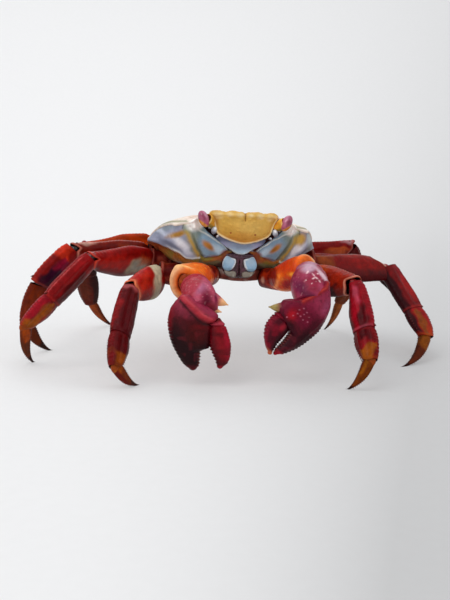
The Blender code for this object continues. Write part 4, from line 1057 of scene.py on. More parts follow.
def build_eyes():
    """Stalked eyes and, below them, the beads at the roots of the feelers."""
    colours = bpy.context.scene.crab_colours
    for side_name, sign in (("right", -1.0), ("left", 1.0)):
        at = np.multiply(EYE_AT, (sign, 1.0, 1.0)) - (0.4, 0.0, 0.0)
        grid, local = ball(at, EYE_RADII, sign * EYE_LEAN, 70, 110)
        drift = 0.25 * (mottle(grid, 1.0, 41) - 0.5)
        across, high = local[..., 0] * sign / EYE_RADII[0], local[..., 2] / EYE_RADII[2]
        paint = ground(across.shape, colours.eye_pink)
        # A painted highlight high on the inner side.
        coat(paint, "C888A0", spot(across + drift, high, (-0.5, 0.45), (0.35, 0.6), 0, 0.8) * 0.5)
        coat(paint, "7A1C40", spot(across + drift, high, (0.05, 0.2), (0.35, 0.5), -15, 0.8) * 0.9)
        coat(paint, "84385A", step(across, 0.35, 0.95) * 0.7)
        coat(paint, "D8902C", step(0.9 * across * -1.0 + high, -0.55, -0.9) * 0.9)
        put(f"eye_{side_name}", tilt(grid), paint, "cornea", "eye", f"eye_{side_name}")

        root = np.multiply((13.4, -31.4, 57.2), (sign, 1.0, 1.0))
        tip = np.multiply((16.6, -35.0, 59.3), (sign, 1.0, 1.0))
        t = crowded(0.0, 1.0, 46)
        radius = smooth(t, (0.0, 0.3, 0.62, 0.85, 1.0), (1.9, 1.8, 2.1, 2.35, 2.25))
        places, sizes, deep = with_ends(t, np.stack([radius * 1.12, radius * 1.05, radius], 1), 5.3, 0.5)
        way = unit(tip - root)
        side = unit(np.cross(way, (0.0, 0.0, 1.0)))
        up = np.cross(side, way)
        centres, across, s, _ = shell(root + (tip - root) * places[:, None], up, side, sizes, 88)
        t = places[:, None] + 0.0 * s
        rings = 0.12 * ripple(t * 5.3 + 0.4 * s, 0.9) * step(t, 0.15, 0.3) * step(t, 0.9, 0.7)
        grid = centres + relieve(across, rings)
        paint = ground(s.shape, colours.stalk_yellow)
        coat(paint, "F0B84A", step(s, 0.2, 0.9) * 0.7)
        coat(paint, "8A7A34", step(s, -0.45, -0.85) * 0.9)
        coat(paint, "C25E28", hump(t, 0.45, 0.16) * step(s, 0.0, 0.6) * 0.6)
        coat(paint, "E8CC88", step(t, 0.9, 0.98) * step(s, 0.5, -0.2) * 0.7)
        coat(paint, "B8742A", step(deep, 0.1, 0.3)[:, None] + 0.0 * s)
        # Painted shade at the stalk's root, where it sits in the eye's hollow.
        coat(paint, "3A1A14", step(t, 0.12, 0.0))
        put(f"eyestalk_{side_name}", tilt(grid), paint, "carapace", "stalk_shell", f"eyestalk_{side_name}")

        for i, (centre, radii, lean) in enumerate(FEELER_BEADS):
            centre = np.multiply(centre, (sign, 1.0, 1.0))
            grid, local = ball(centre, radii, sign * lean, 30, 44)
            paint = ground(grid.shape[:2], "B9BCC4")
            # Painted shade on the lower half and a painted highlight near the top.
            coat(paint, "6E6E7A", step(local[..., 2] / radii[2], 0.1, -0.7) * 0.85)
            coat(paint, "F5F5F5",
                 spot(local[..., 0] / radii[0], local[..., 2] / radii[2], (0, 0.5), (0.4, 0.3), 0, 0.7))
            put(f"feeler_{side_name}_bead_{i + 1}", tilt(grid), paint, "carapace", "carapace_shell")
    return {"FINISHED"}


def build_belly():
    """The sternum and the folded tail, as flattened tubes with a groove at each joint."""
    stations = np.array(STERNUM)
    front, length = stations[0, 0], stations[-1, 0] - stations[0, 0]
    y = crowded(front, front + length, 130)
    half, under = smooth(y, stations[:, 0], stations[:, 1:]).T
    scale = (y - front) / length
    sizes = np.stack([STERNUM_TOP - 0.2 - under - STERNUM_RISE, np.full(len(y), STERNUM_RISE), half], 1)
    places, sizes, _ = with_ends(scale, sizes, length, 0.0)
    level = np.interp(places, scale, under) + STERNUM_RISE
    centres = np.stack([0.0 * places, front + length * places, level], 1)
    centres, across, s, c = shell(centres, (0.0, 0.0, 1.0), (1.0, 0.0, 0.0), sizes, 170, 3.0)
    wide = c * sizes[:, 2][:, None]
    far = centres[..., 1] + 0.3 * np.abs(wide)
    joints = hump((far + 19.0) % 8.6, 4.3, 0.55) * step(np.abs(wide), 3.0, 6.0) * step(s, 0.2, -0.3)
    across = relieve(across, -0.7 * joints)
    grid = centres + across
    paint = ground(s.shape, "A87866")
    coat(paint, "9A4630", step(np.abs(c), 0.55, 0.95) * 0.8)
    coat(paint, "6E2A22", step(grid[..., 1], -4.0, -11.0) * 0.8)
    coat(paint, "D9CCC0", step(mottle(grid, 3.2, 52), 0.45, 0.75) * 0.7)
    coat(paint, "4A2420", joints * 0.9)
    put("sternum", tilt(grid), paint, "carapace", "belly_shell", "sternum")

    stations = np.array(ABDOMEN)
    lengths = np.linalg.norm(np.diff(stations[:, [0, 2]], axis=0), axis=1)
    knots = np.concatenate([[0.0], np.cumsum(lengths)])
    t = crowded(0.0, knots[-1], 140)
    y, half, under = smooth(t, knots, stations).T
    way = np.gradient(np.stack([0.0 * y, y, under], 1), axis=0)
    way /= np.linalg.norm(way, axis=1, keepdims=True)
    side = (1.0, 0.0, 0.0)
    up = np.cross(side, way)
    middle = np.stack([0.0 * y, y, under], 1) + up * ABDOMEN_THICKNESS / 2.0
    thick = np.full(len(t), ABDOMEN_THICKNESS / 2.0 + 0.25)
    centres, across, s, c = shell(middle, up, side, np.stack([thick, thick, half], 1), 120, 3.0)
    joints = hump((t[:, None] + 0.05 * (c * half[:, None]) ** 2 / 4.0) % 7.6, 3.8, 0.45)
    across = relieve(across, -0.35 * joints * step(np.abs(s), 0.3, 0.7))
    shrink = np.ones(len(t))
    shrink[:4] = (0.05, 0.5, 0.8, 0.95)
    shrink[-4:] = (0.95, 0.8, 0.5, 0.05)
    grid = centres + across * shrink[:, None, None]
    paint = ground(s.shape, "D6BBA2")
    coat(paint, "B86A44", step(np.abs(c), 0.6, 0.98) * 0.7)
    coat(paint, "A98A86", step(mottle(grid, 2.4, 53), 0.5, 0.8) * 0.6)
    coat(paint, "50302A", joints * 0.9)
    put("abdomen", tilt(grid), paint, "carapace", "belly_shell", "abdomen")
    return {"FINISHED"}


# ------------------------------------------------------------------------ claws
def tube(stations, rows, columns, mouth, lip=0.3, lips=LIP):
    """A round tube through stations of x, y, z and radius, with a rounded root.

    Its path and its radius are smooth curves through the stations by the length along them."""
    stations = np.array(stations)
    centres = place(stations[:, :3])
    knots = np.concatenate([[0.0], np.cumsum(np.linalg.norm(np.diff(centres, axis=0), axis=1))])
    length = knots[-1]
    t = crowded(0.0, 1.0, rows)
    radius = smooth(t * length, knots, stations[:, 3], True)
    radius = radius + (lip * hump(t, 1.0 - 0.7 / length, 0.9 / length) if mouth else 0.0)
    places, sizes, deep = with_ends(t, np.repeat(radius[:, None], 3, axis=1), length, mouth, lips)
    path = smooth(places * length, knots, centres, True)
    tangent = np.gradient(smooth(t * length, knots, centres, True), axis=0)
    tangent = smooth(places, t, tangent)
    tangent /= np.linalg.norm(tangent, axis=1, keepdims=True)
    path = path + tangent * ((places - np.clip(places, 0.0, 1.0)) * length)[:, None]
    side = np.cross(tangent, (0.0, 0.0, 1.0))
    side /= np.linalg.norm(side, axis=1, keepdims=True)
    middle, across, s, c = shell(path, np.cross(side, tangent), side, sizes, columns, 2.1)
    return middle, across, s, c, places[:, None] + 0.0 * s, deep[:, None] + 0.0 * s, length


def claw_root(side_name, claw):
    """The hip and the arm of one claw."""
    colours = bpy.context.scene.crab_colours
    middle, across, s, _, t, deep, _ = tube(claw["hip"], 50, 80, 0.8)
    grid = middle + relieve(across, 0.12 * step(mottle(middle + across, 1.2, 61), 0.5, 0.8))
    paint = ground(s.shape, "7A1A14")
    coat(paint, "B4401C", step(mottle(grid, 2.2, 62), 0.45, 0.75) * 0.8)
    coat(paint, "D9B09A", spot(t, s, (0.36, -0.1), (0.12, 0.3), 0, 0.6) * 0.6)
    coat(paint, "B85A40", hump(t, 0.97, 0.07) * 0.6)
    # Painted shade inside the mouth's cup and at the root, where the hip meets the body.
    coat(paint, "2A0C0C", np.maximum(deep, step(t, 0.12, 0.0)))
    put(f"claw_{side_name}_hip", grid, deepen(paint), "claw", "belly_shell", f"claw_{side_name}_hip")

    middle, across, s, c, t, deep, length = tube(claw["arm"], 110, 128, 1.0, 0.35, BROAD_LIP)
    skin = middle + across
    low = step(s, -0.35, -0.8)
    outer = c if side_name == "right" else -c
    wrinkles = ripple(t * length + 1.6 * mottle(skin, 4.0, 63) + 0.5 * s, 1.4) * band(t, 0.15, 0.85, 0.1)
    crest = hump(s, 0.78, 0.16) * step(outer, -0.2, 0.3)
    relief = 0.1 * wrinkles + 0.45 * crest * (0.6 + 0.4 * ripple(t * length, 1.3)) * step(t, 0.2, 0.4)
    grid = middle + relieve(across, relief * (deep < 0.01) * step(t, 1.02, 0.96))
    if side_name == "right":
        flatter = 0.3 * step(0.8 * s - 0.6 * outer, 0.1, 0.95) * step(t, 0.35, 0.95)
        grid = grid - across * flatter[..., None]
    big, small = mottle(grid, 4.5, 64), mottle(grid, 1.3, 65)
    paint = ground(s.shape, colours.arm_orange)
    coat(paint, "F28A34", step(big, 0.45, 0.75) * 0.8)
    coat(paint, "C23C12", step(t, 0.6, 0.1) * 0.75)
    coat(paint, "8A1A10", step(t, 0.3, 0.02) * 0.8)
    coat(paint, "D02C10", low * step(outer, -0.2, 0.5) * 0.9)
    # Painted highlights: along the crest, and a peach one on the outer side.
    coat(paint, "F4BE80", crest * 0.9)
    coat(paint, "F2B888", step(outer, 0.72, 0.95) * step(t, 0.45, 0.75) * step(s, -0.75, -0.4) * 0.7)
    coat(paint, "F7C98E", hump(t, 0.985, 0.05) * step(s, -0.5, 0.0) * step(outer, -0.5, 0.1) * 0.9)
    coat(paint, "F8B45A", step(small, 0.62, 0.85) * 0.5)
    if side_name == "left":
        x, z = grid[..., 0] - BODY_AT[0], grid[..., 2]
        coat(paint, "C8380E", step(z, 40.0, 45.0) * step(x, 22.0, 17.0) * 0.8)
        coat(paint, "8A1E10", step(x, 13.6, 12.6))
        edges = np.maximum(hump(x, 13.5, 0.6) * step(z, 40.4, 38.8),
                           hump(z, 34.6 + 0.1 * (x - 14.0), 0.7) * step(x, 20.0, 18.0))
        coat(paint, "F4A468", edges * 0.9)
        coat(paint, "A01C38", spot(x, z, (16.9, 38.6), (2.1, 2.6), 0, 0.8) * 0.95)
        # A painted yellow highlight.
        coat(paint, "F8B850", spot(x, z, (18.2, 43.2), (1.5, 0.8), 15, 0.8) * 0.9)
        coat(paint, "3A1210", step(z, 34.2, 33.0))
    face = band(deep, 0.015, 0.5, 0.02)
    coat(paint, "E0762A", face)
    coat(paint, "B4401C", band(deep, 0.07, 0.5, 0.01) * 0.8)
    # A painted highlight along the outer edge of the lip.
    coat(paint, "F2C8A0", hump(deep, 0.015, 0.03) * step(outer, 0.2, 0.8) * step(t, 0.9, 1.0) * 0.8)
    coat(paint, "4A1610", band(deep, 0.55, 0.9, 0.1))
    # Painted shade inside the cup behind the lip.
    coat(paint, "1E0A0A", step(deep, 0.9, 1.0))
    put(f"claw_{side_name}_arm", grid, deepen(paint), "claw", "arm_shell", f"claw_{side_name}_arm")


def claw_wrist(side_name, claw):
    """The wrist: a bulging tube with granules and a ridge near its root, and the skin behind it."""
    colours = bpy.context.scene.crab_colours
    middle, across, s, _, t, deep, _ = tube(claw["wrist"], 120, 140, 0.0)
    skin = middle + across
    bumps = step(mottle(skin, 1.0, 71), 0.62, 0.86)
    relief = 0.14 * bumps * band(t, 0.2, 0.9, 0.1) + 0.3 * hump(t, 0.17, 0.04) * step(s, -0.6, -0.1)
    relief -= 0.35 * hump(t, 0.25, 0.04) * step(s, -0.6, -0.1)
    grid = middle + relieve(across, relief * step(deep, 0.5, 0.0))
    x, z = grid[..., 0] - BODY_AT[0], grid[..., 2]
    big, small = mottle(grid, 3.4, 72), mottle(grid, 0.9, 73)
    if side_name == "right":
        paint = ground(s.shape, colours.wrist_rose)
        coat(paint, "BC5870", step(big, 0.45, 0.75) * 0.6)
        coat(paint, "A8343C", step(t, 0.3, 0.1))
        # A painted lilac highlight.
        coat(paint, "BC84A4", spot(x, z, (-22.0, 38.6), (3.4, 1.5), 15, 0.9) * 0.6)
        coat(paint, "6E1030", spot(x, z, (-19.6, 35.0), (2.1, 3.3), 8, 0.7))
        coat(paint, "7E2448", spot(x, z, (-15.6, 34.6), (0.8, 2.0), 0, 0.6) * 0.9)
        coat(paint, "94303C", spot(x, z, (-17.4, 31.0), (2.0, 2.6), 0, 0.7) * 0.8)
        coat(paint, "A8323C", step(x - 0.8 * z, -52.6, -54.6) * 0.8)
    else:
        paint = ground(s.shape, "963048")
        coat(paint, "A84462", step(big, 0.45, 0.75) * 0.7)
        coat(paint, "6A1C44", spot(x, z, (18.4, 39.8), (2.2, 2.6), 0, 0.7) * 0.85)
        coat(paint, "5E1638", spot(x, z, (21.6, 37.0), (3.0, 1.5), -20, 0.7) * 0.8)
        # Painted pale lilac highlights along the outer edge and on the top.
        coat(paint, "E0C2CC", spot(x, z, (28.4, 43.8), (4.0, 0.9), -50, 0.5) * 0.9)
        coat(paint, "C8A8B8", spot(x, z, (23.4, 47.0), (3.6, 1.3), 20, 0.5) * 0.85)
        coat(paint, "B82430", step(z - 0.5 * x, 25.4, 23.4) * 0.85)
        marks = np.zeros(s.shape)
        for at, size, turn in (((21.8, 45.4), (0.8, 0.26), 40), ((23.9, 44.6), (0.7, 0.24), -50),
                               ((24.8, 43.6), (0.8, 0.26), -30), ((23.6, 43.4), (0.6, 0.24), 20),
                               ((25.8, 45.0), (0.4, 0.24), 0), ((26.0, 42.4), (0.6, 0.24), -50),
                               ((20.6, 42.6), (0.26, 0.2), 0), ((22.6, 41.6), (0.24, 0.2), 0)):
            marks = np.maximum(marks, spot(x, z, at, size, turn, 0.5))
        coat(paint, "F2CDD0", marks * 0.9)
    coat(paint, "D88A9A", bumps * band(t, 0.2, 0.85, 0.1) * 0.15)
    coat(paint, "F0C0C0", step(small, 0.8, 0.92) * 0.2)
    # Painted shade for a cup; the wrist has none, so this paints nothing.
    coat(paint, "2E0A12", step(deep, 0.2, 0.7))
    put(f"claw_{side_name}_wrist", grid, deepen(paint, 1.12), "claw", "wrist_shell",
        f"claw_{side_name}_wrist")

    start = place(claw["arm"][-1][:3])
    ahead = unit(place(claw["wrist"][2][:3]) - start)
    grid, _ = ball(start - ahead * 1.4, (3.9, 3.9, 3.9), 0.0, 40, 64)
    grid = swell(grid, 0.4 * ripple((grid - start) @ ahead, 1.1) + 0.2 * mottle(grid, 1.0, 74))
    paint = coat(ground(grid.shape[:2], "8A3412"), "B8561E", step(mottle(grid, 1.4, 75), 0.4, 0.8) * 0.7)
    put(f"claw_{side_name}_elbow_skin", grid, paint, "claw", "arm_shell")


def blade(claw, stations, rows, columns):
    """A flat piece in the claw's own plane, each row a superellipse between its two edges.

    Returns the middles and the way from them to each point, the place along the claw, how near to
    the outer edge and how far to the front a point lies, from -1 to 1, and the claw's way out."""
    along, outward = unit(claw["along"]), unit(claw["outward"])
    facing = unit(np.cross(along, outward))
    outward = np.cross(facing, along)
    front = -math.copysign(1.0, facing[1])
    table = np.array(stations)
    length = table[-1, 0] - table[0, 0]
    t = crowded(0.0, 1.0, rows)
    inner, outer, half = smooth(table[0, 0] + t * length, table[:, 0], table[:, 1:]).T
    sizes = np.stack([(outer - inner) / 2.0, (outer - inner) / 2.0, half], 1)
    places, sizes, _ = with_ends(t, sizes, length, 0.0)
    s = table[0, 0] + places * length
    middle = np.interp(places, t, (inner + outer) / 2.0)
    centres = place(claw["origin"]) + along * s[:, None] + outward * middle[:, None]
    centres, across, edge, toward = shell(centres, outward, facing * front, sizes, columns, FLAT_POWER)
    return centres, across, s[:, None] + 0.0 * edge, edge, toward, outward


def across_place(claw, grid, outward):
    """How far out from the claw's origin each point lies."""
    return (grid - place(claw["origin"])) @ outward


# Granules on the left palm: place along it and across it.
PALM_DOTS = ((6.8, -4.2), (7.3, -2.3), (8.6, -2.7), (10.0, 0.5), (8.3, -5.3), (10.0, -3.4), (10.5, -1.6),
             (9.9, -4.9), (11.6, -5.8), (13.6, -7.2), (8.2, -0.4))


def claw_palm(side_name, claw):
    """The palm with its fixed finger: a toothed gape, a beaded outer edge and raised ridges."""
    colours = bpy.context.scene.crab_colours
    right = side_name == "right"
    centres, across, s, edge, toward, outward = blade(claw, claw["palm"], 220, 176)
    r = across_place(claw, centres + across, outward)
    near_outer, near_inner = step(edge, 0.72, 0.96), step(edge, -0.72, -0.96)
    gape = 20.4 if right else 17.4
    notch = 1.0 - np.abs(2.0 * ((s / (1.25 if right else 1.1)) % 1.0) - 1.0)
    relief = chosen("tooth") * (1.0 if right else 0.75) * notch * near_inner
    relief *= band(s, gape, 27.0 if right else 26.4, 0.5)
    scallop = ripple(s + 0.4 * mottle(centres + across, 3.0, 81), 1.35)
    relief += (0.3 if right else 0.42) * scallop * near_outer * band(s, 8.5, 26.5, 1.5)
    relief += 0.08 * step(mottle(centres + across, 0.9, 82), 0.55, 0.8)
    front = step(toward, -0.1, 0.3)
    if right:
        rim = ((-0.4, 4.5), (3.4, 0.6), (6.2, -2.4), (7.9, -5.2), (8.9, -8.6))
        inside = step(s * 0.95 + r, 4.2, 2.6) * step(s, 8.6, 7.2)
        relief = relief + 0.55 * line(s, r, rim, 1.1) * front + 0.6 * inside * front
        relief -= 0.4 * line(s, r, np.array(rim) + (1.5, 1.2), 0.55) * front
        relief += 0.35 * line(s, r, ((7.0, 3.5), (12.5, 2.5), (20.0, 0.5)), 1.6) * front
    else:
        rim = ((-7.4, -1.6), (-5.4, -1.2), (-2.7, -2.2), (1.5, -3.9), (4.8, -5.5))
        relief += 0.3 * line(s, r, ((1.0, 4.4), (8.0, 5.2), (16.0, 3.8), (24.0, 1.2)), 1.0) * front
        relief += 0.5 * line(s, r, rim, 0.8) * front
        for at in PALM_DOTS:
            relief += chosen("granule") * spot(s, r, at, (0.36, 0.36), 0, 0.8) * front
    grid = centres + relieve(across, relief)
    big, mid, small = (mottle(grid, size, seed) for size, seed in ((5.0, 83), (2.2, 84), (0.8, 85)))
    if right:
        paint = ground(s.shape, "5A1420")
        coat(paint, "96344A", step(s, 9.0, 1.0) * 0.95)
        coat(paint, "A04A5E", spot(s, r, (4.4, 3.2), (2.4, 3.6), 25, 0.8) * 0.5 * front)
        coat(paint, colours.claw_dark, step(s + 0.35 * r + 3.0 * (big - 0.5), 9.5, 17.5) * 0.92)
        coat(paint, "8E1426", step(r + 0.6 * (mid - 0.5), 7.4, 9.8) * step(s, 18.0, 9.0) * 0.8)
        coat(paint, "5E1612", spot(s, r, (13.5, -1.0), (4.2, 4.0), 0, 0.8) * 0.7 * front)
        coat(paint, "7A1420", band(s + 0.12 * r, 9.6, 11.4, 0.9) * step(r, 3.0, -2.0) * 0.6)
        coat(paint, "6E1022", step(s, 25.4, 28.0) * 0.8)
        coat(paint, "240810", line(s, r, np.array(rim) + (1.5, 1.2), 0.55) * front * 0.8)
        coat(paint, "A03C58", inside * front * 0.9)
        coat(paint, "B8404A", line(s, r, rim, 1.15) * front)
        # A painted highlight line along the ridge's upper edge.
        coat(paint, "CC6A74", line(s, r, np.array(rim) - (0.4, 0.3), 0.4) * front * 0.4)
    else:
        paint = ground(s.shape, "7E1A3C")
        coat(paint, colours.palm_rose, step(s - 0.5 * r, 8.0, 1.0) * 0.9)
        # A painted sheen.
        coat(paint, "AA5878", spot(s, r, (0.6, 3.0), (3.0, 1.4), 10, 0.9) * 0.6 * front)
        coat(paint, "8C1230", spot(s, r, (10.8, -5.6), (3.4, 2.4), 0, 0.7) * 0.9)
        coat(paint, "B81C2E", spot(s, r, (12.2, -6.4), (2.4, 1.6), 20, 0.8) * 0.8 * front)
        coat(paint, "4E0C22", step(r + 0.9 * (mid - 0.5), 0.6, 4.0) * step(s, 3.0, 8.0) * 0.8)
        coat(paint, "380818", step(s + 1.6 * (big - 0.5), 10.5, 15.5) * 0.8)
        # A painted sheen along the outer edge.
        coat(paint, "B0607A", step(edge, 0.9, 0.99) * band(s, 0.0, 6.0, 2.0) * 0.35)
        coat(paint, "962428", line(s, r, rim, 0.8) * front)
        # A painted highlight on the rim's crest.
        coat(paint, "B84A40", line(s, r, rim, 0.3) * front * 0.6)
        coat(paint, "B01C34", step(s, 24.8, 27.0) * 0.85)
        dots = np.zeros(s.shape)
        for at in PALM_DOTS:
            dots = np.maximum(dots, spot(s, r, at, (0.26, 0.24), 0, 0.8))
        coat(paint, "D08898", dots * front * 0.8)
    coat(paint, "8A2A3A", step(mid, 0.6, 0.85) * 0.28)
    coat(paint, "2A0810", step(small, 0.7, 0.9) * 0.3)
    coat(paint, "C07A70", notch * near_inner * band(s, gape, 27.6, 0.5) * 0.5)
    put(f"claw_{side_name}_palm", grid, deepen(paint), "claw", "claw_shell", f"claw_{side_name}_palm")


def claw_finger(side_name, claw):
    """The moving finger: teeth on the gape, a beaded back and a paler point."""
    colours = bpy.context.scene.crab_colours
    right = side_name == "right"
    centres, across, s, edge, toward, outward = blade(claw, claw["finger"], 170, 128)
    r = across_place(claw, centres + across, outward)
    gape, back = step(edge, 0.7, 0.95), step(edge, -0.7, -0.95)
    first = claw["finger"][0][0]
    pitch = 1.3 if right else 1.15
    notch = 1.0 - np.abs(2.0 * ((s / pitch) % 1.0) - 1.0)
    relief = (0.6 if right else 0.4) * notch * gape * band(s, first + 8.0, claw["finger"][-1][0] - 1.4, 0.8)
    relief += (0.12 if right else 0.4) * ripple(s, 1.3) * back * band(s, first + 2.5, 26.0, 1.0)
    front = step(toward, -0.1, 0.3)
    relief = relief - 0.4 * hump(s, first + 2.3, 0.35) + 0.3 * hump(s, first + 1.5, 0.5)
    relief += 0.07 * step(mottle(centres + across, 0.8, 92), 0.55, 0.8)
    grid = centres + relieve(across, relief * step(s, first - 0.6, first + 0.6))
    mid, small = mottle(grid, 2.4, 93), mottle(grid, 0.8, 94)
    if right:
        paint = ground(s.shape, "8E1828")
        coat(paint, "A81C38", step(edge, -0.2, -0.7) * 0.9)
        coat(paint, "6A1020", step(edge, 0.1, 0.7) * 0.8)
        coat(paint, "5A0C1A", step(mid, 0.55, 0.8) * 0.5)
        coat(paint, "B04858", band(s, first + 0.6, first + 2.0, 0.4) * front * 0.8)
        coat(paint, "6A1824", step(s, first + 0.6, first - 0.4) * 0.9)
        coat(paint, "4E0A16", step(s + 0.4 * r, 16.5, 20.5) * step(s, 27.0, 25.4) * 0.75)
        coat(paint, "A02038", step(s, 25.6, 27.6) * 0.7)
    else:
        paint = ground(s.shape, "5E0E26")
        coat(paint, "8A1430", step(mid, 0.45, 0.75) * 0.8)
        coat(paint, colours.claw_dark, step(edge, 0.0, 0.7) * 0.8)
        coat(paint, "A02440", step(edge, -0.55, -0.9) * 0.55)
        coat(paint, "C03848", spot(s, r, (17.6, -5.8), (1.6, 1.2), 0, 0.8) * 0.5 * front)
        coat(paint, "CC7C58", step(s, 27.2, 28.8) * 0.85)
    coat(paint, "2A0810", step(small, 0.7, 0.9) * 0.3)
    put(f"claw_{side_name}_finger", grid, deepen(paint), "claw", "claw_shell", f"claw_{side_name}_finger")


def horn(name, base, tip, radius, colours_down, slot_name):
    """One large spine: a cone that is a little fuller than straight, with a blunt point."""
    base, tip = place(base), place(tip)
    way = unit(tip - base)
    length = np.linalg.norm(tip - base)
    side = unit(np.cross(way, (0.0, 0.0, 1.0)))
    t = np.linspace(0.0, 1.0, 40)
    size = radius * (1.0 - t) ** 0.8 * 0.94 + 0.28
    places, sizes, _ = with_ends(t, np.repeat(size[:, None], 3, axis=1), length, 0.0)
    centres = base + (tip - base) * places[:, None]
    middle, across, s, c = shell(centres, np.cross(side, way), side, sizes, 56)
    grid = middle + relieve(across, 0.08 * ripple(c * 3.0, 0.5))
    t = places[:, None] + 0.0 * s
    paint = ground(s.shape, colours_down[0])
    coat(paint, colours_down[1], step(t, 0.4, 0.8))
    return put(name, grid, paint, "claw", slot_name)


def build_claw(side_name):
    """One claw from its hip to its fingers, with its large spines."""
    claw = CLAWS[side_name]
    claw_root(side_name, claw)
    claw_wrist(side_name, claw)
    claw_palm(side_name, claw)
    claw_finger(side_name, claw)
    for i, (owner, base, tip, radius) in enumerate(CLAW_SPINES[side_name]):
        down, slot = SPINE_LOOKS[owner]
        horn(f"claw_{side_name}_spine_{i + 1}", base, tip, radius, down, slot)
    return {"FINISHED"}
